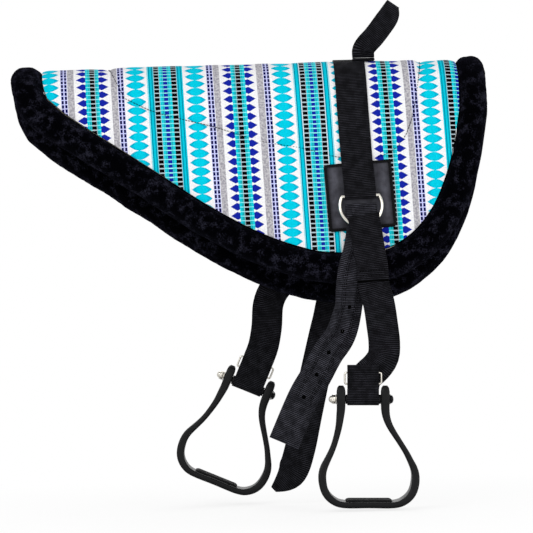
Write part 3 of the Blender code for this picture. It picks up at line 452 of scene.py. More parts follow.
def pile(name, dark, light, grain, depth):
    """Cloth with a standing nap: dark, with small paler flecks scattered at random as painted sheen of
    crushed pile.
    """
    made, tree, shader = new_material(name, dark, 1.0, Sheen_Weight=0.05, Sheen_Roughness=0.5,
                                      Sheen_Tint=linear("#8A8CA8"), Specular_IOR_Level=0.0)
    place = add(tree, "TexCoord", output="Object")
    patches = add(tree, "TexNoise", {"Vector": place, "Scale": 1 / (13 * MM), "Detail": 3.0})
    hairs = add(tree, "TexNoise", {"Vector": place, "Scale": 1 / grain, "Detail": 4.0, "Roughness": 0.75})
    # The paler flecks are painted sheen: light that the pile catches, put into its colour
    painted_sheen_flecks = add(tree, "Math", (patches, hairs), operation="MULTIPLY")
    painted_sheen_flecks = add(tree, "MapRange", (painted_sheen_flecks, 0.26, 0.40))
    tone = add(tree, "Mix", {"Factor": painted_sheen_flecks, "A": linear(dark), "B": linear(light)}, "Result",
               data_type="RGBA")
    relief = add(tree, "Bump", {"Strength": 1.0, "Distance": depth, "Height": hairs})
    fill(tree, shader, {"Base Color": tone, "Normal": relief})
    return made


def webbing(name, dark, light):
    """Nylon webbing: close ribs across the strap over hard twisted cords, with almost no gloss; the ribs'
    crests are painted paler, partly as painted highlight, partly as wear.
    """
    made, tree, shader = new_material(name, dark, 0.8, Specular_IOR_Level=0.06)
    uv = add(tree, "UVMap", uv_map="cloth")
    # Ribs are about 1.2 mm apart and cords 1.5 mm apart: drawn 2.8 and 3.2 mm apart so that they show
    ribs = add(tree, "TexWave", {"Vector": uv, "Scale": wave_share / (2.8 * MM), "Distortion": 1.2,
                                 "Detail": 1.0, "Detail Scale": 0.4}, "Fac", bands_direction="Y")
    cords = add(tree, "TexWave", {"Vector": uv, "Scale": wave_share / (3.2 * MM)}, "Fac", bands_direction="X")
    wear = add(tree, "TexNoise", {"Vector": uv, "Scale": 1 / (14 * MM), "Detail": 4.0})
    crest = add(tree, "MapRange", (ribs, 0.55, 1.0))
    weave = add(tree, "Math", (cords, 0.35, crest), operation="MULTIPLY_ADD")
    # Rib crests are painted paler in patches: partly painted highlight where the ribs catch the light, partly
    # wear
    lit_and_worn_crests = add(tree, "MapRange", (wear, 0.35, 0.7, 0.15, 1.0))
    lit_and_worn_crests = add(tree, "Math", (crest, lit_and_worn_crests), operation="MULTIPLY")
    tone = add(tree, "Mix", {"Factor": lit_and_worn_crests, "A": linear(dark), "B": linear(light)}, "Result",
               data_type="RGBA")
    relief = add(tree, "Bump", {"Strength": 0.8, "Distance": 0.6 * MM, "Height": weave})
    fill(tree, shader, {"Base Color": tone, "Normal": relief})
    return made


def grain_leather():
    """Drum-dyed leather with a fine pebble grain and a low shine, painted a little paler where light falls on
    the crown of each patch.
    """
    made, tree, shader = new_material("grain_leather", "#0B0B0C", 0.45, Specular_IOR_Level=0.07)
    place = add(tree, "TexCoord", output="Object")
    pebbles = add(tree, "TexVoronoi", {"Vector": place, "Scale": 1 / (1.9 * MM)}, "Distance",
                  feature="SMOOTH_F1")
    leather_patchiness = add(tree, "TexNoise", {"Vector": place, "Scale": 1 / (14 * MM), "Detail": 4.0})
    # Painted light: the crown of each patch is painted paler, broken up in patches by a noise
    crown_light = add(tree, "Attribute", output="Fac", attribute_name="crown_light")
    crown_light = add(tree, "Math", (leather_patchiness, crown_light), operation="MULTIPLY")
    tone = add(tree, "Mix", {"Factor": crown_light, "A": linear("#030304"), "B": linear("#5C5C66")}, "Result",
               data_type="RGBA")
    relief = add(tree, "Bump", {"Strength": 0.4, "Distance": 0.4 * MM, "Height": pebbles})
    rough = add(tree, "MapRange", {0: leather_patchiness, 3: 0.38, 4: 0.58})
    fill(tree, shader, {"Base Color": tone, "Normal": relief, "Roughness": rough})
    return made


def metal(name, colour, roughness, marks, detail, low, high):
    """A metal whose roughness lies between two values over its handling marks."""
    made, tree, shader = new_material(name, colour, roughness, 1.0)
    place = add(tree, "TexCoord", output="Object")
    rough = add(tree, "TexNoise", {"Vector": place, "Scale": 1 / marks, "Detail": detail})
    fill(tree, shader, {"Roughness": add(tree, "MapRange", {0: rough, 3: low, 4: high})})
    return made


def moulded_nylon(name, colour, light, roughness):
    """Glass-filled nylon from a textured mould: deep grey-black with a fine satin grain."""
    made, tree, shader = new_material(name, colour, roughness, Specular_IOR_Level=0.13)
    place = add(tree, "TexCoord", output="Object")
    grain = add(tree, "TexNoise", {"Vector": place, "Scale": 1 / (1.4 * MM), "Detail": 3.0})
    cloud = add(tree, "TexNoise", {"Vector": place, "Scale": 1 / (30 * MM), "Detail": 2.0})
    tone = add(tree, "Mix", {"Factor": cloud, "A": linear(colour), "B": linear(light)}, "Result",
               data_type="RGBA")
    relief = add(tree, "Bump", {"Strength": 0.25, "Distance": 0.3 * MM, "Height": grain})
    fill(tree, shader, {"Base Color": tone, "Normal": relief})
    return made


def mottled(name, colour, roughness, gloss, grain, dark, light):
    """A dull black that changes its tone a little from grain to grain."""
    made, tree, shader = new_material(name, colour, roughness, Specular_IOR_Level=gloss)
    place = add(tree, "TexCoord", output="Object")
    grains = add(tree, "TexNoise", {"Vector": place, "Scale": 1 / grain})
    tone = add(tree, "Mix", {"Factor": grains, "A": linear(dark), "B": linear(light)}, "Result",
               data_type="RGBA")
    fill(tree, shader, {"Base Color": tone})
    return made


def cut_foam():
    """Open-cell foam in its cut state: pale, with small pores."""
    made, tree, shader = new_material("cut_foam", "#D8D4C0", 0.95)
    place = add(tree, "TexCoord", output="Object")
    pores = add(tree, "TexVoronoi", {"Vector": place, "Scale": 1 / (1.5 * MM)}, "Distance")
    tone = add(tree, "Mix", {"Factor": pores, "A": linear("#B5B09A"), "B": linear("#DEDAC8")}, "Result",
               data_type="RGBA")
    relief = add(tree, "Bump", {"Strength": 0.5, "Distance": 0.5 * MM, "Height": pores})
    fill(tree, shader, {"Base Color": tone, "Normal": relief})
    return made


cotton = printed_cotton()
plush = pile("crushed_plush", "#010102", "#24242F", 2.4 * MM, 2 * MM)
fleece = pile("polyester_fleece", "#020203", "#1C1C1F", 5 * MM, 2.5 * MM)
web = webbing("nylon_webbing", "#040406", "#36363D")
# The billet's webbing is painted greyer than the other straps: a lighter copy of the webbing, painted light
# for the light it faces
lit_billet_web = webbing("billet_webbing", "#101014", "#585862")
leather = grain_leather()
# Polished nickel on steel wire: bright, slightly warm, with fine handling marks
nickel = metal("nickel_plate", "#C9C5BC", 0.22, 5 * MM, 4.0, 0.14, 0.34)
# Steel with a dark oxide finish: nearly black, with a dull metal gloss on its edges
black_steel = metal("blackened_steel", "#1C1C1E", 0.42, 4 * MM, 3.0, 0.34, 0.55)
moulded = moulded_nylon("moulded_nylon", "#050506", "#0F1012", 0.4)
rubber = moulded_nylon("tread_rubber", "#0C0C0D", "#1A1A1B", 0.8)
tube_plastic = moulded_nylon("extruded_nylon", "#0C0C0D", "#18181A", 0.5)
# Bonded sewing thread: black, tightly twisted; drawn dead black with almost no shine, so that it also stands
# as painted shade for the groove it is sewn into
thread = mottled("polyester_thread", "#020203", 0.8, 0.02, 0.8 * MM, "#010101", "#0C0C0E")
# Dead black with no shine, painted shade: it fills the billet's holes and marks the shadow under the end of a
# strap's folded layer
shade_black = mottled("painted_shade_black", "#020202", 0.9, 0.01, 0.9 * MM, "#000000", "#050505")
foam = cut_foam()
filler = pile("cotton_filler", "#B9B2A2", "#DAD4C6", 3 * MM, 1 * MM)


# The folded pad
def curve_value(table, place):
    """Smooth value at a place of a table of (place, value) pairs."""
    places = [pair[0] for pair in table]
    values = [pair[1] for pair in table]
    place = min(max(place, places[0]), places[-1])
    index = max(i for i in range(len(places) - 1) if places[i] <= place)
    slopes = []
    for i in (index, index + 1):
        low, high = max(i - 1, 0), min(i + 1, len(places) - 1)
        slopes.append((values[high] - values[low]) / (places[high] - places[low]))
    span = places[index + 1] - places[index]
    t = (place - places[index]) / span
    return (
        (2 * t**3 - 3 * t**2 + 1) * values[index]
        + (t**3 - 2 * t**2 + t) * span * slopes[0]
        + (3 * t**2 - 2 * t**3) * values[index + 1]
        + (t**3 - t**2) * span * slopes[1]
    )


def blend(low, high, share):
    return low + (high - low) * share


fold_step = fold_length / 100


def fold_table():
    """Reach and drop of the folded pad's face at each step of run from its crest."""
    table = [(0.0, 0.0)]
    reach, drop = 0.0, 0.0
    for i in range(int(pad_half_width * 1.5 / fold_step)):
        angle = fold_angle * (1 - math.exp(-(i + 0.5) * fold_step / fold_length))
        reach += math.cos(angle) * fold_step
        drop += math.sin(angle) * fold_step
        table.append((reach, drop))
    return table


folded = fold_table()


def skin(x, run, lift=0.0):
    """Point at a run from the pad's middle line (towards +Y), lifted off the pad's outer face."""
    run += pad_slip
    side = math.copysign(1, run)
    place = abs(run) / fold_step
    index = int(place)
    reach = blend(folded[index][0], folded[index + 1][0], place - index)
    drop = blend(folded[index][1], folded[index + 1][1], place - index)
    return Vector((x, side * reach, pad_thickness - drop)) + skin_normal(run - pad_slip) * lift


def skin_normal(run):
    run += pad_slip
    angle = fold_angle * (1 - math.exp(-abs(run) / fold_length))
    return Vector((0, math.copysign(math.sin(angle), run), math.cos(angle)))


def share_of(table, run):
    return curve_value(table, min(abs(run) / pad_half_width, table[-1][0])) * pad_length / 2


def side_run(x):
    return curve_value(side_shares, x * 2 / pad_length) * pad_half_width


def seat_run(x):
    return curve_value(seat_side_shares, x * 2 / pad_length) * pad_half_width


def edge_shape(step):
    """Places (x, run) of a grid over the pad, about a step apart, and its numbers of rows and columns."""
    low, high = tail_shares[-1][1] * pad_length / 2, front_shares[-1][1] * pad_length / 2
    rows, half_columns = round((high - low) / step), round(pad_half_width / step)
    places = []
    for i in range(rows + 1):
        share = i / rows
        edge = side_run(blend(low, high, share))
        for k in range(-half_columns, half_columns + 1):
            run = edge * k / half_columns
            places.append((blend(share_of(tail_shares, run), share_of(front_shares, run), share), run))
    return places, (rows + 1, half_columns * 2 + 1)


def seat_line(step):
    """Places (x, run) round the sewn line of the seat."""
    low, high = seat_tail_shares[-1][1] * pad_length / 2, seat_front_shares[-1][1] * pad_length / 2
    count = round((high - low) / step)
    side = [(x, seat_run(x)) for x in (blend(low, high, i / count) for i in range(count + 1))]
    ends = []
    for table, edge in ((seat_front_shares, side[-1][1]), (seat_tail_shares, side[0][1])):
        count = round(edge * 2 / step)
        runs = [edge * (1 - 2 * i / count) for i in range(1, count)]
        ends.append([(share_of(table, run), run) for run in runs])
    return side + ends[0] + [(x, -run) for x, run in reversed(side)] + ends[1][::-1]


def line_distance(places, line):
    """Distance of each place (x, run) to a closed line, below zero outside it."""
    line = np.array(line)
    starts, ends = line, np.roll(line, -1, axis=0)
    result = np.empty(len(places))
    points = np.array(places)
    for first in range(0, len(points), 4000):
        block = points[first:first + 4000, None, :]
        step = (ends - starts)[None]
        share = ((block - starts[None]) * step).sum(2) / (step**2).sum(2)
        nearest = starts[None] + step * np.clip(share, 0, 1)[..., None]
        gap = np.sqrt(((block - nearest) ** 2).sum(2)).min(1)
        above = (starts[None, :, 1] > block[..., 1]) != (ends[None, :, 1] > block[..., 1])
        rise = np.where(ends[:, 1] == starts[:, 1], 1e-9, ends[:, 1] - starts[:, 1])
        cross = starts[None, :, 0] + (block[..., 1] - starts[None, :, 1]) / rise[None] * step[..., 0]
        inside = (above & (block[..., 0] < cross)).sum(1) % 2 == 1
        result[first:first + 4000] = np.where(inside, gap, -gap)
    return result


def closed_sheet(name, places, size, tops, bottoms, finish, nodes):
    """A sheet on a grid of places between two tables of lifts, with a map of its flat cloth."""
    points = [skin(x, run, lift) for lifts in (tops, bottoms) for (x, run), lift in zip(places, lifts)]
    maps = [(x + run * print_lean, run) for x, run in places] * 2
    return make_piece(name, points, sheet_faces(*size), "pad", finish, nodes, maps)


def pad_edge(places, size):
    """The grid's outer places in one round."""
    return [places[number] for number in rim_numbers(*size)]


def patch_press(x, run):
    """Share of the cover's own height that is left where a patch or the strap presses on it."""
    side = abs(x - strap_x + strap_lean * run)
    across = max(side - patch_size / 2, patch_depth - patch_size / 2 - abs(run))
    strap = side - web_width / 2
    return min(1.0, max(0.0, min(across, strap) / (14 * MM)))


def ripple(x, y, layer, size, height):
    """Height of a ripple of about a size at a place; each layer has its own."""
    return noise.noise(Vector((x, y, layer)) / size) * height


def make_cover():
    """The quilted cover: crowned inside the sewn line, with small puckers along the stitches."""
    places, size = edge_shape(cover_step)
    inside = line_distance(places, seat_line(8 * MM))
    to_edge = line_distance(places, pad_edge(places, size))
    tops = []
    for (x, run), seat, edge in zip(places, inside, to_edge):
        free, edge = patch_press(x, run), max(edge, 0)
        if seat > 0:
            lift = seat_height * (1 - math.exp(-seat / quilt_reach * 1.6))
        else:
            lift = flap_swell * (1 - math.exp(seat / quilt_reach)) * free
        lift -= quilt_depth * math.exp(-((seat / groove_reach) ** 2))
        lift -= edge_draw * math.exp(-edge / edge_reach * 3)
        wave = ripple(x, run, 0, 38 * MM, 1.3 * MM)
        pucker = ripple(x, run, 5, 12 * MM, 1.4 * MM) * math.exp(-abs(seat) / (16 * MM))
        tops.append(lift + (wave + pucker) * min(1.0, edge / (15 * MM)) * free)
    bottoms = [-cover_thickness - edge_draw] * len(places)
    cover = closed_sheet("striped_cover", places, size, tops, bottoms, cotton,
                         ["pad_cover"])


def make_lining():
    """The napped lining on the pad's underside."""
    places, size = edge_shape(lining_step)
    bottoms = [ripple(x, run, 3, 9 * MM, 1 * MM) - pad_thickness for x, run in places]
    tops = [lining_thickness - pad_thickness] * len(places)
    made = closed_sheet("fleece_underside", places, size, tops, bottoms, fleece,
                        ["fleece_lining"])


def make_roll():
    """The plush roll: a soft sleeve round its filler, open towards the pad's edge where it is sewn on."""
    rim = pad_edge(*edge_shape(roll_step))
    places = [skin(x, run) for x, run in rim]
    steps = [(b - a).length for a, b in zip(places, places[1:] + places[:1])]
    middle, sides = -(pad_thickness + edge_draw) / 2, 26
    points, length = [], 0.0
    for i, (place, (_, run)) in enumerate(zip(places, rim)):
        tangent = (places[(i + 2) % len(places)] - places[i - 2]).normalized()
        normal = skin_normal(run)
        outward = normal.cross(tangent).normalized()
        turn = 2 * math.pi * length / sum(steps)
        length += steps[i]
        half_width = roll_width / 2 * curve_value(roll_width_shares, place.x * 2 / pad_length)
        start = 0.5 * MM - half_width * math.cos(roll_mouth)
        for wall, order in ((0.0, 1), (roll_wall, -1)):
            for k in range(sides + 1)[::order]:
                angle = roll_mouth * (1 - 2 * k / sides)
                swell = 0.0
                if wall == 0:
                    spot = Vector((math.cos(turn), math.sin(turn), angle / 6)) * 9
                    swell = noise.noise(spot) * roll_swell + noise.noise(spot * 5) * roll_dents - roll_shrink
                reach, rise = half_width - wall + swell, roll_height / 2 - wall + swell
                across = outward * (start + reach * math.cos(angle))
                points.append(place + across + normal * (middle + rise * math.sin(angle)))
    faces = loft(len(rim), (sides + 1) * 2, closed=True)
    obj = make_piece("plush_roll", points, faces, "pad", plush, ["edge_roll"])


# Paths of the straps, as the solids have them
def catmull(values, t):
    """Value at a share between the middle two of four values on a smooth curve."""
    a, b, c, d = values
    return (b * 2 + (c - a) * t + (a * 2 - b * 5 + c * 4 - d) * t**2 + (b * 3 - a - c * 3 + d) * t**3) / 2


def smooth_stations(controls, step):
    """Stations (place, across) about a step apart on a smooth curve through the controls."""
    result = []
    for i in range(len(controls) - 1):
        window = [controls[min(max(i + k, 0), len(controls) - 1)] for k in (-1, 0, 1, 2)]
        count = max(1, round((controls[i + 1][0] - controls[i][0]).length / step))
        for j in range(count):
            result.append(tuple(catmull([station[part] for station in window], j / count) for part in (0, 1)))
    result.append(controls[-1])
    return result


def line_value(table, place):
    """Value at a place of a table of (place, value) pairs with straight lines between them."""
    for (a, value_a), (b, value_b) in zip(table, table[1:]):
        if place <= b:
            return blend(value_a, value_b, max(place - a, 0) / (b - a))
    return table[-1][1]


def strap_middle(run):
    """Place along X of the strap over the seat: it leans a little as it crosses the pad."""
    return strap_x - strap_lean * run


def strap_bed(run):
    """Lift of the strap's underside over the pad's plain face: on the crowned seat, then on the flap."""
    sewn = seat_run(strap_x)
    table = ((sewn - quilt_reach * 1.5, seat_height + bed_gap), (sewn + quilt_reach * 0.6, bed_gap))
    return line_value(table, abs(run))


def strap_half(side):
    """Stations of the over-strap on one side, from its end behind the dee's bar up to the crest."""
    table = [(side * (dee_bar_depth - strap_return * (1 - i / 5)), return_lift) for i in range(6)]
    steps = 14
    for i in range(1, steps + 1):
        angle = math.pi * i / steps
        run = side * (dee_bar_depth + loop_radius * math.sin(angle))
        table.append((run, bar_lift - loop_radius * math.cos(angle)))
    upper = return_lift + web_thickness + layer_gap
    for share, lift in ((1.5, 0.84), (2.5, 0.4), (4.0, 0.04)):
        run = side * (dee_bar_depth - loop_radius * share)
        table.append((run, blend(upper, bar_lift + loop_radius, lift)))
    for i in range(1, 6):
        run = blend(dee_bar_depth - loop_radius * 4, dee_bar_depth - strap_return, i / 5)
        table.append((side * run, upper))
    edge = patch_depth - patch_size / 2
    table.append((side * (edge + 3 * MM), return_lift))
    start = edge - 5 * MM
    count = round(start / (5 * MM))
    for i in range(count):
        run = start * (1 - i / count)
        table.append((side * run, strap_bed(run) + web_thickness / 2))
    sideways = dee_frame(side)[2]
    return [
        (skin(strap_middle(run) + line_value(seat_shift, abs(run)), run, lift),
         sideways if abs(run) > edge else along)
        for run, lift in table
    ]


def dee_frame(side):
    """Places of the dee's bar and its arc's middle, and the ring's directions: along the bar, down, out."""
    bar_run = side * dee_bar_depth
    bar = skin(strap_middle(bar_run), bar_run, bar_lift)
    low_run = side * (dee_bar_depth + dee_bar_rise + dee_radius)
    stack = patch_top + layer_gap + web_thickness + strip_gap + strip_thickness + hang_gap
    slope = (stack + web_thickness + wire_gap + dee_wire / 2 - bar_lift) / (dee_bar_rise + dee_seat)
    low = skin(strap_middle(low_run), low_run, bar_lift + slope * (dee_bar_rise + dee_radius))
    down = (low - bar).normalized()
    sideways = (along - down * along.dot(down)).normalized()
    off = down.cross(sideways) * side
    off = off if off.y * side > 0 else -off
    return bar, bar + down * dee_bar_rise, sideways, down, off


def roll_face(side):
    """Depth of the roll's outermost face, from the pad's middle plane, at the lowest part of the flap."""
    run = side * (pad_half_width + roll_width / 2)
    return abs(skin(strap_x, run, roll_height / 2 - (pad_thickness + edge_draw) / 2).y)


def hanging(place, drop, depth):
    """Place by shares of the strap's drop: the way along X from the strap over the seat, and the way down."""
    return Vector((strap_x + place * strap_drop, depth, pad_thickness - drop * strap_drop))


strap_drop = 544.9 * MM
bolt_shares = {-1: (0.0059, 1.0), 1: (-0.3345, 0.9655)}
leans = {-1: math.radians(1.5), 1: math.radians(23.5)}
swings = {-1: math.radians(-8), 1: math.radians(52)}
strap_routes = {
    -1: ((0.036, 0.562), (0.043, 0.609), (0.046, 0.664), (0.060, 0.719), (0.068, 0.780), (0.073, 0.835),
         (0.069, 0.876), (0.048, 0.907), (0.022, 0.930), (0.011, 0.950)),
    1: ((-0.110, 0.573), (-0.156, 0.602), (-0.205, 0.633), (-0.245, 0.672), (-0.266, 0.719),
        (-0.272, 0.785), (-0.283, 0.842), (-0.298, 0.881)),
}
billet_route = (
    (0.006, 0.562, 0.17), (-0.008, 0.609, 0.00), (-0.015, 0.642, 0.00), (-0.022, 0.683, 0.10),
    (-0.028, 0.725, 0.35), (-0.053, 0.807, 0.70), (-0.094, 0.866, 0.88), (-0.130, 0.930, 1.00),
    (-0.171, 0.998, 1.00), (-0.230, 1.127, 1.00),
)
latigo_route = (
    (-0.039, 0.606, 0.15), (-0.053, 0.646, 0.00), (-0.064, 0.686, 0.00), (-0.075, 0.725, 0.12),
    (-0.085, 0.767, 0.40), (-0.099, 0.818, 0.65), (-0.130, 0.940, 0.92), (-0.157, 1.055, 1.00),
    (-0.181, 1.160, 1.00), (-0.207, 1.228, 1.00), (-0.262, 1.283, 1.00),
)
free_tuck = 28 * MM
twist_table = ((0.0, 0.0), (0.27, 0.0), (0.40, 1.0), (0.56, 0.0), (1.0, 0.0))
tube_way = tube_diameter / 2 + wire_gap + web_thickness / 2


def strap_depth(side):
    """Depth of the hanging strap's middle from the pad's middle plane: outside the roll and the billet."""
    outer = web_thickness + (strip_gap + strip_thickness if side < 0 else 0)
    return roll_face(side) + hang_gap + outer + hang_gap + web_thickness / 2


def bolt_place(side):
    place, drop = bolt_shares[side]
    return hanging(place, drop, side * (strap_depth(side) + tube_way))


def bottom_loop(side, bolt):
    """Stations of a strap's lower end, round the stirrup's tube and over the slide, and the slide's frame."""
    turn = Matrix.Rotation(leans[side], 3, "Y")
    across, rise = turn @ along, turn @ up
    off = Vector((0, side, 0))
    low = ear_rise + slide_clear + slide_wire / 2
    high = low + slide_height
    inside = web_thickness + layer_gap
    bar = inside + web_thickness / 2 + wire_gap + slide_wire / 2
    over = bar + slide_wire / 2 + wire_gap + web_thickness / 2
    reach = math.hypot(over - tube_way, low)
    wrap = math.pi + math.atan2(low, over - tube_way) - math.acos(tube_way / reach)
    stations, steps = [], 16
    for i in range(steps + 1):
        angle = wrap * i / steps
        stations.append((bolt - (off * math.cos(angle) + rise * math.sin(angle)) * tube_way, across))
    leave = stations[-1][0] - bolt
    heights = [(blend(leave.dot(rise), low, share), blend(leave.dot(off) + tube_way, over, share))
               for share in (0.35, 0.7)]
    heights += [
        (low, over), (low + slide_wire, over), (high, over), (high + slide_wire, over),
        (high + slide_wire + tail_over / 2, (over + inside) / 2), (high + slide_wire + tail_over, inside),
    ]
    stations += [(bolt + off * (lift - tube_way) + rise * height, across) for height, lift in heights]
    return stations, (bolt + off * (bar - tube_way) + rise * (low + high) / 2, across, rise)


def stirrup_strap_path(side):
    """Stations of a webbing strap folded over the dee's wire and hanging to the stirrup's tube."""
    _, middle, sideways, down, off = dee_frame(side)
    swing, radius = swings[side], loop_radius
    hang_down = down * math.cos(swing) - sideways * math.sin(swing)
    across = sideways * math.cos(swing) + down * math.sin(swing)
    top = dee_seat - wire_gap - web_thickness / 2
    below = dee_radius + dee_wire
    back_start = middle + hang_down * below - off * radius
    controls = [(back_start, across)]
    for i, (place, drop) in enumerate(strap_routes[side]):
        out = blend(abs(back_start.y), strap_depth(side), min(1.0, (i + 1) / 2))
        controls.append((hanging(place, drop, side * out), across.lerp(along, min(1.0, (i + 1) / 5))))
    bolt = bolt_place(side)
    turn = Matrix.Rotation(leans[side], 3, "Y")
    tube_side = bolt - Vector((0, side * tube_way, 0))
    controls.append((tube_side + turn @ up * ear_rise * 0.6, turn @ along))
    back = smooth_stations(controls, hang_step)
    back.append((tube_side, turn @ along))
    front, length = [(middle + hang_down * below + off * radius, across)], 0.0
    for i in range(1, len(back) - 1):
        length += (back[i][0] - back[i - 1][0]).length
        path = (back[i + 1][0] - back[i - 1][0]).normalized()
        guide = (back[i][1] - path * back[i][1].dot(path)).normalized()
        if length > turn_back:
            break
        lift = blend(web_thickness + layer_gap * 2, radius * 2, max(0.0, 1 - length / (turn_back * 0.4)))
        front.append((back[i][0] + guide.cross(path) * side * lift, guide))
    stations = front[::-1]
    for i in range(15):
        angle = math.pi * i / 14
        fold = middle + hang_down * (top + radius - radius * math.sin(angle))
        stations.append((fold + off * radius * math.cos(angle), across))
    loop, slide_frame = bottom_loop(side, bolt)
    return stations + back[:-1] + loop, slide_frame


def sewn_strap_path(side, gap, route):
    """Stations of a strap sewn to the patch below the dee's bar, hanging over the roll on its route."""
    top_run = dee_bar_depth + loop_radius + web_thickness / 2 + gap
    lift = patch_top + layer_gap + web_thickness / 2
    controls = []
    for share in (0.0, 0.5, 1.0):
        run = side * blend(top_run, patch_depth + patch_size / 2, share)
        controls.append((skin(strap_middle(run), run, lift + hang_gap * share), along))
    depth = roll_face(side) + hang_gap + web_thickness / 2
    for place, drop, tuck in route:
        controls.append((hanging(place, drop, side * (depth - free_tuck * tuck)), along))
    return smooth_stations(controls, hang_step)


def billet_path():
    """Stations of the billet, which twists a little on its way to its square end."""
    stations = sewn_strap_path(-1, billet_top_gap, billet_route)
    twisted = []
    for i, (place, _) in enumerate(stations):
        angle = billet_twist * line_value(twist_table, i / (len(stations) - 1))
        twisted.append((place, along * math.cos(angle) + Vector((0, 1, 0)) * math.sin(angle)))
    return twisted


# Straps
def station_frames(stations, closed=False):
    """Place, across, path and face directions at each station, and the length up to it."""
    frames, length, count = [], 0.0, len(stations)
    for i, (place, guide) in enumerate(stations):
        before = stations[i - 1][0] if closed or i else place
        after = stations[(i + 1) % count][0] if closed or i < count - 1 else place
        path = (after - before).normalized()
        across = (guide - path * guide.dot(path)).normalized()
        if i:
            length += (place - stations[i - 1][0]).length
        frames.append((place, across, path, across.cross(path), length))
    return frames


def lifted(stations, lift):
    """Stations moved off the strap's face by a lift."""
    frames = station_frames(stations)
    return [(frame[0] + frame[3] * lift, guide) for frame, (_, guide) in zip(frames, stations)]


def make_ribbon(name, stations, body, nodes, width=web_width, thickness=web_thickness, closed=False,
                shares=None, finish=web):
    """A webbing strap through its stations, with a map of its flat weave; widths may change by shares."""
    half, deep = width / 2, thickness / 2
    upper = [(half, 0.0), (half - deep * 0.3, deep * 0.75), (half - deep, deep), (half / 2, deep * 0.93),
             (0.0, deep * 0.93)]
    upper += [(-a, b) for a, b in reversed(upper[:4])]
    section = upper + [(a, -b) for a, b in reversed(upper[1:-1])]
    points, maps = [], []
    frames = station_frames(stations, closed)
    for i, (place, across, _, face, length) in enumerate(frames):
        left, right = shares[i] if shares else (1.0, 1.0)
        for a, b in section:
            share = a * (right if a > 0 else left)
            points.append(place + across * share + face * b)
            maps.append((share + (width if b < 0 else 0.0), length))
    faces = loft(len(frames), len(section), closed)
    return make_piece(name, points, faces, body, finish, nodes, maps)


def stitch(points, faces, start, end, face, thick):
    """One stitch: a short thread that rises out of the cloth and goes back in."""
    path = (end - start).normalized()
    side = path.cross(face).normalized()
    base, sides = len(points), 5
    for share, reach, rise in stitch_rings:
        middle = start.lerp(end, share) + face * thick * rise
        points.extend(middle + side * a + face * b for a, b in circle(sides, thick / 2 * reach))
    faces.extend(tuple(base + number for number in corners) for corners in loft(len(stitch_rings), sides))


def make_stitches(name, lines, body, thick=0.9 * MM, pitch=4.2 * MM):
    """Rows of stitches along lines of (place, face direction) pairs."""
    points, faces = [], []
    for line in lines:
        # Lengths along the line at its places
        lengths = [0.0]
        for (a, _), (b, _) in zip(line, line[1:]):
            lengths.append(lengths[-1] + (b - a).length)
        count = max(1, round(lengths[-1] / pitch))

        def at(place):
            i = max(k for k in range(len(line) - 1) if lengths[k] <= place + 1e-9)
            share = min(1.0, (place - lengths[i]) / max(lengths[i + 1] - lengths[i], 1e-9))
            (low, low_face), (high, high_face) = line[i], line[i + 1]
            return low.lerp(high, share), low_face.lerp(high_face, share).normalized()

        for k in range(count):
            start, face = at(lengths[-1] * (k + 0.08) / count)
            end, _ = at(lengths[-1] * (k + 0.92) / count)
            stitch(points, faces, start, end, face, thick)
    make_piece(name, points, faces, body, thread)


def along_strap(stations, offset, low, high, side=1, thickness=web_thickness):
    """A line on a strap's face, an offset from its middle, between two lengths."""
    return [(place + across * offset + face * side * thickness / 2, face * side)
            for place, across, _, face, length in station_frames(stations) if low <= length <= high]


def across_strap(stations, place, half, side=1, thickness=web_thickness, zigzag=0.0):
    """A line across a strap's face at a length along it, straight or as a zigzag."""
    frames = station_frames(stations)
    index = min(range(len(frames)), key=lambda i: abs(frames[i][4] - place))
    middle, across, path, face, _ = frames[index]
    middle = middle + face * side * thickness / 2
    count = 14 if zigzag else 1
    line = []
    for k in range(count + 1):
        sway = zigzag * (1 if k % 2 else -1)
        line.append((middle + across * half * (2 * k / count - 1) + path * sway, face * side))
    return line


def patch_point(side, a, b, lift):
    """Point on a patch at ways along X and down the flap from its middle."""
    turn = strap_lean + (off_patch_turn if side < 0 else 0.0)
    run = side * (patch_depth + b)
    return skin(strap_x - strap_lean * side * patch_depth + a - turn * side * b, run + a * turn, lift)


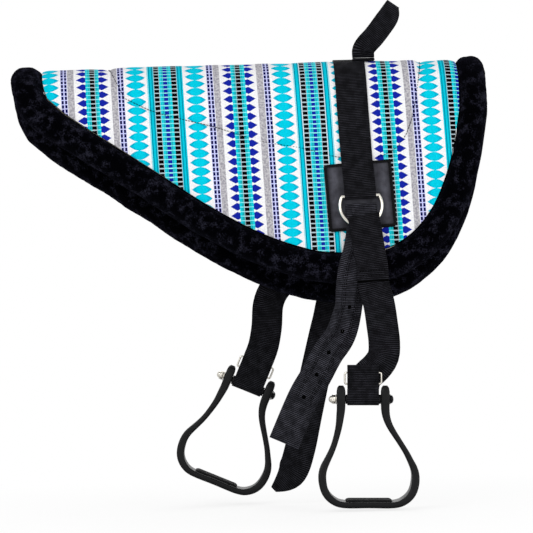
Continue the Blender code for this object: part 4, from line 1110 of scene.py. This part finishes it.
def make_patch(side, label):
    """A square of thick leather with a rolled edge, bedded on the flap."""
    count, half, covered = 27, patch_size / 2, web_width / 2
    ways = [half * math.sin(math.pi / 2 * (2 * i / (count - 1) - 1)) for i in range(count)]
    points, crown_light = [], []
    for top, b, a in ((top, b, a) for top in (True, False) for b in ways for a in ways):
        edge = half - max(abs(a), abs(b))
        drop = patch_thickness * 0.42 * math.exp(-edge / (0.9 * MM))
        # The stitched line lies in a shallow groove
        drop += 0.5 * MM * math.exp(-((edge - patch_groove) / (1.2 * MM)) ** 2)
        grain = ripple(a, b, side, 16 * MM, 0.25 * MM) if edge > 2 * MM else 0.0
        lift = patch_top - drop + grain if top else strap_lift
        # Corners are a little rounded
        shrink = 1 - max(0.0, abs(a) + abs(b) - half * 1.93) / half * 0.5
        points.append(patch_point(side, a * shrink, b * shrink, lift))
        # A band on both sides of the straps, inside its stitches, is painted paler as light on the patch's
        # crown; by the straps' sides and the rolled edge it stays dark as painted shade
        across = max(0.0, (abs(a) - covered) / (half - covered))
        band = 1 - abs(2 * across - 1) ** 1.5 if across else 0.6
        crown_light.append(band * min(1.0, max(0.0, edge - 4 * MM) / (3 * MM)))
    made = make_piece(label + "_leather_patch", points, sheet_faces(count, count), "pad",
                      leather, [label + "_patch"])
    made.data.attributes.new("crown_light", "FLOAT", "POINT").data.foreach_set("value", crown_light)
    inset, hidden = half - patch_seam, web_width / 2 + 1 * MM
    outward, strap_at = skin_normal(side * patch_depth), strap_middle(side * patch_depth)
    corners = ((-inset, -inset), (inset, -inset), (inset, inset), (-inset, inset))
    lines = []
    for (a0, b0), (a1, b1) in zip(corners, corners[1:] + corners[:1]):
        spots = [patch_point(side, blend(a0, a1, i / 20), blend(b0, b1, i / 20), patch_top - 0.35 * MM)
                 for i in range(21)]
        # No thread is drawn under the straps
        for way in (-1, 1):
            lines.append([(spot, outward) for spot in spots if (spot.x - strap_at) * way > hidden])
    lines = [line for line in lines if line]
    make_stitches(label + "_patch_stitches", lines, "pad", pitch=3.4 * MM)


def wire(name, path, diameter, body, nodes):
    """A closed ring of round wire through its path."""
    points, sides = [], 14
    centre = sum(path, Vector()) / len(path)
    normal = (path[0] - centre).cross(path[len(path) // 4] - centre).normalized()
    for i, place in enumerate(path):
        tangent = (path[(i + 1) % len(path)] - path[i - 1]).normalized()
        out = tangent.cross(normal).normalized()
        points += [place + out * a + normal * b for a, b in circle(sides, diameter / 2)]
    make_piece(name, points, loft(len(path), sides, closed=True), body, nickel, nodes)


def make_dee(side, label):
    """The welded dee ring: one arc and a flat bar that the over-strap goes round."""
    _, middle, sideways, down, _ = dee_frame(side)
    start, steps = math.acos(dee_bar_rise / dee_radius), 60
    path = []
    for i in range(steps + 1):
        angle = blend(start, 2 * math.pi - start, i / steps)
        path.append(middle + (sideways * math.sin(angle) - down * math.cos(angle)) * dee_radius)
    path += [path[-1].lerp(path[0], k / 14) for k in range(1, 14)]
    wire(label + "_dee_ring", path, dee_wire, label + "_ring", [label + "_dee"])


def make_slide(label, middle, across, rise):
    """A flat wire slide that holds the strap's end."""
    section = rounded_section(slide_width, slide_height, slide_wire, 6)
    path = [middle + across * x + rise * z for x, z in section]
    wire(label + "_wire_slide", path, slide_wire, label + "_strap", [label + "_strap_slide"])


def make_straps():
    """The strap over the seat, and on each side the strap that hangs to the stirrup with its slide."""
    crest = (skin(strap_middle(0) + seat_shift[0][1], 0, strap_bed(0) + web_thickness / 2), along)
    over = strap_half(-1) + [crest] + strap_half(1)[::-1]
    make_ribbon("over_webbing", over, "pad", ["over_strap"])
    total = station_frames(over)[-1][4]
    inset = web_width / 2 - stitch_inset
    fold, sewn = strap_return * 2, strap_return + loop_radius * math.pi
    # Each folded end is held by two rows across it, a zigzag by the dee and two rows along its edges
    rows = []
    for way in (lambda place: place, lambda place: total - place):
        for place in (fold + loop_radius * 3 - 16 * MM, fold + loop_radius * 3 - 11 * MM):
            rows.append(across_strap(over, way(place), inset, -1))
        rows.append(across_strap(over, way(sewn + 9 * MM), inset - 2 * MM, -1, zigzag=1.8 * MM))
        span = sorted((way(sewn + 14 * MM), way(fold + 2 * MM)))
        rows += [along_strap(over, edge * inset, *span, -1) for edge in (-1, 1)]
    make_stitches("over_webbing_stitches", rows, "pad")
    for side, label in both_sides:
        stations, slide_frame = stirrup_strap_path(side)
        body, frames = label + "_strap", station_frames(stations)
        make_ribbon(label + "_stirrup_webbing", stations, body, [label + "_stirrup_strap"])
        make_slide(label, *slide_frame)
        # A dead black strip at the end of the folded-over layer is painted shadow: the dark line that the
        # layer's end throws on the strap
        place, _, path, _, _ = frames[0]
        end = [(place - path * way, stations[0][1]) for way in (end_shadow_length, 0.05 * MM)]
        make_ribbon(label + "_strap_end_shadow", end, body, [], finish=shade_black)
        face = 1 if frames[3][3].y * side > 0 else -1
        rows = [across_strap(stations, place, inset, face) for place in (6 * MM, 12 * MM)]
        make_stitches(label + "_stirrup_webbing_stitches", rows, body)


def make_billet():
    """The punched billet: webbing with a narrower facing sewn along it."""
    stations = billet_path()
    frames = station_frames(stations)
    total = frames[-1][4]
    out = -1 if frames[0][3].y > 0 else 1
    strip_foot = web_thickness / 2 + strip_gap / 4
    strip = [station for station, frame in zip(stations, frames) if frame[4] < total - strip_end]
    end = frames[len(strip) - 1][4]
    strip = lifted(strip, out * (strip_foot + strip_thickness / 2))
    wide = make_ribbon("billet_webbing", stations, "billet", ["off_billet"], finish=lit_billet_web)
    narrow = make_ribbon("billet_facing", strip, "billet", ["off_billet_strip"], strip_width, strip_thickness,
                         finish=lit_billet_web)
    # A dead black cup in each hole is painted shade, so that the hole looks dark: (height, radius) pairs
    # round its section
    low, rim = web_thickness / 2 + 0.2 * MM, strip_foot + strip_thickness + 0.1 * MM
    wall = drawn_hole - 0.15 * MM
    cup = [(rim, wall), (rim, wall - 0.4 * MM), (low + 0.3 * MM, wall - 0.4 * MM), (low + 0.3 * MM, 0.2 * MM),
           (low, 0.2 * MM), (low, wall)]
    holes, sides = [], 20
    for k in range(5):
        place = end - first_hole - k * hole_pitch
        index = max(i for i in range(len(frames) - 1) if frames[i][4] <= place)
        share = (place - frames[index][4]) / (frames[index + 1][4] - frames[index][4])
        middle = frames[index][0].lerp(frames[index + 1][0], share)
        turn = frames[index][3].to_track_quat("Z", "Y").to_matrix().to_4x4()
        holes.append(Matrix.Translation(middle) @ turn)
        points = [holes[k] @ Vector((a, b, height * out))
                  for height, radius in cup for a, b in circle(sides, radius)]
        make_piece(f"billet_hole_shade_cup_{k + 1}", points, loft(len(cup), sides, closed=True), "billet",
                   shade_black)
    # The holes in the webbing are drawn narrower than the facing's, so that only the black cups show in them
    # as painted shade
    drill(wide, holes, narrow_webbing_hole, 12 * MM, sides)
    drill(narrow, holes, drawn_hole, 12 * MM, sides)
    # The thread is drawn thick so that it shows, and lies half sunk in the facing
    edge, sunk = strip_width / 2 - 2.2 * MM, strip_thickness - 1.2 * MM
    rows = [along_strap(strip, offset, 22 * MM, end - 4 * MM, out, sunk)
            for offset in (edge, -edge, edge - 3 * MM, 3 * MM - edge)]
    rows += [across_strap(strip, place, edge, out, sunk) for place in (4 * MM, 20 * MM)]
    make_stitches("billet_stitches", rows, "billet", thick=1.3 * MM, pitch=4.6 * MM)


def make_latigo():
    """The tie strap, cut to a slanting point at its end."""
    stations = sewn_strap_path(1, latigo_top_gap, latigo_route)
    frames = station_frames(stations)
    total = frames[-1][4]
    tapers = [max(0.0, 1 - (total - frame[4]) / latigo_taper) for frame in frames]
    shares = [(1 - taper * 0.7, 1 - taper**2 * 0.85) for taper in tapers]
    make_ribbon("latigo_webbing", stations, "latigo", ["near_latigo"], shares=shares)
    face = -1 if frames[0][3].y < 0 else 1
    inset = web_width / 2 - stitch_inset
    rows = [across_strap(stations, place, inset, face) for place in (4 * MM, 18 * MM)]
    rows += [along_strap(stations, side * inset, 4 * MM, 18 * MM, face) for side in (-1, 1)]
    make_stitches("latigo_stitches", rows, "latigo")


# Stirrups
stirrup_shares = (
    (0.440, 0.000, 0.50, 0.12), (0.440, 0.018, 0.86, 0.24), (0.440, 0.048, 1.00, 0.30),
    (0.440, 0.113, 1.00, 0.33), (0.446, 0.215, 0.93, 0.33),
    (0.505, 0.328, 0.75, 0.38), (0.647, 0.462, 0.64, 0.44), (0.797, 0.585, 0.68, 0.55),
    (0.908, 0.687, 0.82, 0.67), (0.922, 0.779, 0.89, 0.79), (0.863, 0.867, 0.86, 0.88),
    (0.719, 0.931, 0.79, 0.955), (0.497, 0.963, 0.71, 1.00), (0.000, 0.963, 0.71, 1.00),
)
ear_middle = stirrup_shares[0][0] * stirrup_width / 2
ear_gap = ear_middle * 2 - ear_thickness


def stirrup_path():
    """Places, thickness and depth along the frame, from one ear's top round the tread to the other's."""
    half = [Vector((x * stirrup_width / 2, ear_rise - z * stirrup_height, 0))
            for x, z, _, _ in stirrup_shares]
    path = [Vector((-p.x, p.y, 0)) for p in half] + half[-2::-1]
    sizes = [Vector((t * ear_thickness, d * tread_depth)) for _, _, t, d in stirrup_shares]
    sizes += sizes[-2::-1]
    fine, last = [], len(path) - 1
    for i in range(last):
        picks = [min(max(i + k, 0), last) for k in (-1, 0, 1, 2)]
        curved = 2 < i < last - 3
        count = 4 if 1 < i < last - 2 else 3
        for t in (j / count for j in range(count)):
            fine.append([
                catmull([values[k] for k in picks], t) if curved else values[i].lerp(values[i + 1], t)
                for values in (path, sizes)
            ])
    return fine + [(path[-1], sizes[-1])]


def make_stirrup(side, label):
    """The moulded stirrup with its rubber pad, bolt, nut, washers and tube, hung from the bolt's axis."""
    place = Matrix.Translation(bolt_place(side)) @ Matrix.Rotation(leans[side], 4, "Y")
    body = label + "_iron"
    fine = []
    for spot, size in stirrup_path():
        sink = min(1.0, max(0.0, -(spot.y + ear_rise) / (stirrup_height * skew_share)))
        fine.append((Vector((spot.x + stirrup_skew * sink * sink * (3 - 2 * sink), 0, spot.y)), size))
    # The ears' first rings stay level, so that the bore's ends are flat
    points, last, straight = [], len(fine) - 1, 6
    for i, (spot, size) in enumerate(fine):
        path = (fine[min(i + 1, last)][0] - fine[max(i - 1, 0)][0]).normalized()
        if i < straight or i > last - straight:
            path = up * (-1 if i < straight else 1)
        normal = Vector((path.z, 0, -path.x))
        points += [place @ (spot + normal * a + Vector((0, b, 0)))
                   for a, b in rounded_section(size.x, size.y, frame_corner, 4)]
    moulding = make_piece(label + "_moulded_stirrup", points, loft(len(fine), len(points) // len(fine)), body,
                          moulded, [label + "_stirrup"])
    bore = place @ Matrix.Rotation(math.pi / 2, 4, "Y")
    drill(moulding, [bore], bolt_diameter / 2 + bore_gap, stirrup_width, 32)
    make_tread_pad(place, label, body)
    make_bolt_set(place, label, body)


def make_tread_pad(place, label, body):
    """A rubber pad with ribs across the tread, let down on its flat top."""
    half = (stirrup_shares[-2][0] * stirrup_width - tread_margin) / 2
    _, drop, thickness, _ = stirrup_shares[-1]
    low = ear_rise - drop * stirrup_height + thickness * ear_thickness / 2 + layer_gap
    deep, ribs, foot = tread_depth / 2 - tread_margin, 9, 0.6
    profile = [(-deep, 0.0), (deep, 0.0), (deep, foot)]
    for k in range(ribs):
        middle, reach = deep * (1 - (2 * k + 1) / ribs), deep / ribs
        profile += [(middle + reach * way, rise)
                    for way, rise in ((0.9, 0.55), (0.55, 1.0), (-0.55, 1.0), (-0.9, 0.55))]
    profile.append((-deep, foot))
    # Both ends are rounded down: (x, share of the height) pairs
    ends = [(-half, 0.3), (-half + 2.5 * MM, 0.8), (-half + 5 * MM, 1.0)]
    ends += [(-x, rise) for x, rise in reversed(ends)]
    points = [place @ Vector((stirrup_skew + x, y, low + z * tread_pad_thickness * rise))
              for x, rise in ends for y, z in profile]
    make_piece(label + "_ribbed_tread", points, loft(len(ends), len(profile)), body, rubber,
               [label + "_tread_pad"])


def turned(name, profile, place, body, finish, node, hexagon, closed):
    """A turned body about X from (x, radius) pairs; rings with their number in hexagon get six flats."""
    points, sides = [], 36
    for index, (x, radius) in enumerate(profile):
        for k in range(sides):
            angle = 2 * math.pi * k / sides
            reach = radius
            if index in hexagon:
                turn = (angle + math.pi / 6) % (math.pi / 3) - math.pi / 6
                reach = min(radius / math.cos(turn), radius * 1.12)
            points.append(place @ Vector((x, reach * math.cos(angle), reach * math.sin(angle))))
    make_piece(name, points, loft(len(profile), sides, closed), body, finish, [node])


def dome(start, height, radius, parts):
    """Rings (x, radius) of a dome that stops a little short of its top."""
    angles = [math.pi / 2 * i / parts for i in range(1, 8)]
    return [(start + height * math.sin(angle), radius * math.cos(angle)) for angle in angles]


def ring_section(low, high, inner, outer, edge):
    """Rings (x, radius) round the section of a tube or washer with bevelled outer edges."""
    return [(low, inner), (high, inner), (high, outer - edge), (high - edge, outer), (low + edge, outer),
            (low, outer - edge)]


def make_bolt_set(place, label, body):
    """The bolt through both ears, its domed nut, their washers and the tube that the strap runs on."""
    outside = ear_middle + ear_thickness / 2
    seat = outside + layer_gap + washer_thickness + layer_gap
    shank, head, half_nut = bolt_diameter / 2, head_diameter / 2, nut_width / 2
    tip, bore, bevel = -(seat + nut_height), shank + bore_gap, 0.5 * MM
    half_gap = ear_gap / 2 - layer_gap
    bolt = [(tip, shank * 0.8), (tip + shank * 0.2, shank), (seat, shank), (seat, head - bevel),
            (seat + bevel, head)] + dome(seat + bevel, head_height - bevel, head, 7.4)
    nut = [(tip - layer_gap, bore), (-seat, bore), (-seat, half_nut - bevel), (-seat - bevel, half_nut),
           (tip + bevel, half_nut), (tip, half_nut * 0.9)] + dome(tip, -dome_height, half_nut * 0.86, 7.3)
    tube = ring_section(-half_gap, half_gap, tube_diameter / 2 - tube_wall, tube_diameter / 2, bevel)
    washers = [ring_section(start, start + washer_thickness, bore, washer_diameter / 2, bevel / 2)
               for start in (outside + layer_gap, -outside - layer_gap - washer_thickness)]
    for name, node, profile, closed, slot, finish in (
        ("_steel_bolt", "_bolt", bolt, False, "black_moulding", black_steel),
        ("_domed_nut", "_nut", nut, False, "nickel", nickel),
        ("_spacer_tube", "_tube", tube, True, "black_tube", tube_plastic),
        ("_head_washer_ring", "_head_washer", washers[0], True, "black_moulding", black_steel),
        ("_nut_washer_ring", "_nut_washer", washers[1], True, "nickel", nickel),
    ):
        flats = (2, 3, 4) if profile is nut else ()
        turned(label + name, profile, place, body, finish, label + node, flats, closed)


# Grab handle
lean_shares = ((0.0, 0.0), (0.1, 0.0), (0.22, 0.07), (0.42, 0.26), (0.78, 0.54), (1.0, 0.70))
gap_shares = ((0.0, 0.0), (0.12, 0.25), (0.45, 1.0), (0.8, 0.8), (1.0, 0.55))
# The fold at the top is drawn in: from and over these shares of the height, by these shares of the width
top_start, top_reach = 0.74, 0.32
top_back, top_front = 0.05, 0.93


def make_handle():
    """A webbing loop on a sewn tab over the crest, leaning to the front."""
    pivot = skin(handle_x, -pad_slip, handle_rise)
    legs, steps = [], 26
    for share in (i / steps for i in range(steps + 1)):
        below, above = max(share - 0.05, 0.0), min(share + 0.05, 1.0)
        rise = curve_value(lean_shares, above) - curve_value(lean_shares, below)
        guide = Vector((1, 0, -rise / (above - below))).normalized()
        gap = blend(handle_bead, handle_bow, curve_value(gap_shares, share))
        lean = curve_value(lean_shares, share)
        legs.append((Vector((lean * handle_height, gap, share * handle_height)), guide))
    stations = [(pivot + Vector((p.x, -p.y, p.z)), guide) for p, guide in legs]
    last, guide = legs[-1]
    rise = guide.cross(Vector((0, 1, 0)))
    for angle in (math.pi * i / 12 for i in range(1, 12)):
        middle = pivot + Vector((last.x, 0, last.z)) + rise * last.y * math.sin(angle)
        stations.append((middle - Vector((0, last.y * math.cos(angle), 0)), guide))
    stations += [(pivot + p, guide) for p, guide in reversed(legs)]
    for angle in (math.pi * i / 8 for i in range(1, 8)):
        stations.append((pivot + Vector((0, math.cos(angle), -math.sin(angle))) * handle_bead, along))
    shares = []
    for place, _ in stations:
        near_top = min(1.0, max(0.0, (place.z - pivot.z) / handle_height - top_start) / top_reach)
        shares.append((1.0 - top_back * near_top, math.sqrt(1.0 - (top_front * near_top) ** 2)))
    make_ribbon("handle_webbing", stations, "handle", ["grab_handle"], handle_width, closed=True,
                shares=shares)
    tab_lift = strap_bed(0) + web_thickness + layer_gap + anchor_thickness / 2
    tab = [(skin(handle_x, (i / 6 - 1) * anchor_length / 2 - pad_slip, tab_lift), along) for i in range(13)]
    make_ribbon("handle_tab", tab, "pad", ["handle_anchor"], handle_width, anchor_thickness)


def make_seat_stitches():
    """The thread of the quilting line round the seat, down in its groove, but not under the strap."""
    rows = [[]]
    line = seat_line(4 * MM)
    for x, run in line + line[:1]:
        if abs(x - strap_middle(run)) < web_width / 2 + 2 * MM:
            rows.append([])
        else:
            rows[-1].append((skin(x, run, -quilt_depth + 0.5 * MM), skin_normal(run)))
    rows = [row for row in rows if len(row) > 2]
    make_stitches("seat_stitches", rows, "pad", 1.2 * MM, 5 * MM)


def hide_cores():
    """The filling of the pad and its roll, which no one sees, keeps its solids with a better finish."""
    for node, finish in (("seat_foam", foam), ("foam_core", foam), ("edge_roll_core", filler)):
        for slot in frame["nodes"][node].material_slots:
            slot.material = finish


def make_all():
    """Every piece of the object."""
    make_cover()
    make_lining()
    make_roll()
    make_seat_stitches()
    make_straps()
    make_billet()
    make_latigo()
    make_handle()
    for side, label in both_sides:
        make_patch(side, label)
        make_dee(side, label)
        make_stirrup(side, label)
    hide_cores()


# Studio
def make_studio():
    """A white room with four soft lamps and a floor that fades into it."""
    scene = bpy.context.scene
    scene.view_settings.view_transform = "Standard"
    world = bpy.data.worlds.new("studio")
    scene.world = world
    world.use_nodes = True
    tree = world.node_tree
    # The camera and the metal see a white room, which lights the cloth less than its lamps do
    rays = add(tree, "LightPath").node.outputs
    seen = add(tree, "Math", (rays["Is Camera Ray"], rays["Is Glossy Ray"]), operation="MAXIMUM")
    power = add(tree, "MapRange", {0: seen, 3: 0.6, 4: 1.0})
    fill(tree, tree.nodes["Background"], {"Color": (1, 1, 1, 1), "Strength": power})
    for name, place, size, watts in (
        ("key", (-1.6, -2.6, 1.6), 1.8, 46), ("fill", (2.2, -2.0, 0.4), 2.0, 26),
        ("back", (0.4, 2.6, 1.4), 2.0, 30), ("under", (0.2, -2.2, -0.6), 1.2, 5),
    ):
        data = bpy.data.lights.new(name, "AREA")
        data.size, data.energy = size, watts
        lamp = link_new(name, data)
        lamp.location = place
        lamp.rotation_euler = (lamp_aim - lamp.location).to_track_quat("-Z", "Y").to_euler()
    deselect()
    bpy.ops.mesh.primitive_plane_add(size=14, location=(0, floor_back, cad_box[0][2] - 4 * MM))
    floor = bpy.context.active_object
    floor.name = "floor"
    made, tree, shader = new_material("painted_floor", "#F6F6F6", 0.9, Specular_IOR_Level=0.1)
    # The floor shows its soft shadow round the object and fades to the white of the room further out
    rays = add(tree, "LightPath").node.outputs
    glow = add(tree, "Emission", {"Color": (1, 1, 1, 1), "Strength": 1.0})
    spot = add(tree, "TexCoord", output="Object")
    spot = add(tree, "VectorMath", (spot, (0, floor_back, 0)), operation="ADD")
    away = add(tree, "VectorMath", (spot,), "Value", operation="LENGTH")
    fade = add(tree, "MapRange", (away, 0.3, 0.9, 0.82, 1.0))
    share = add(tree, "Math", (rays["Is Camera Ray"], fade), operation="MULTIPLY")
    mix = add(tree, "MixShader", (share, shader.outputs[0], glow))
    fill(tree, tree.nodes["Material Output"], {"Surface": mix})
    floor.data.materials.append(made)


def make_camera():
    """The photo's view: from far away at about half the pad's height, turned a little."""
    data = bpy.data.cameras.new("camera")
    data.sensor_width, data.lens = 36, 239.6
    camera = link_new("camera", data)
    camera.location = (0.019, -5.8, -0.310)
    camera.rotation_euler = (math.pi / 2, math.radians(1.5), 0)
    bpy.context.scene.camera = camera


make_all()
make_studio()
make_camera()
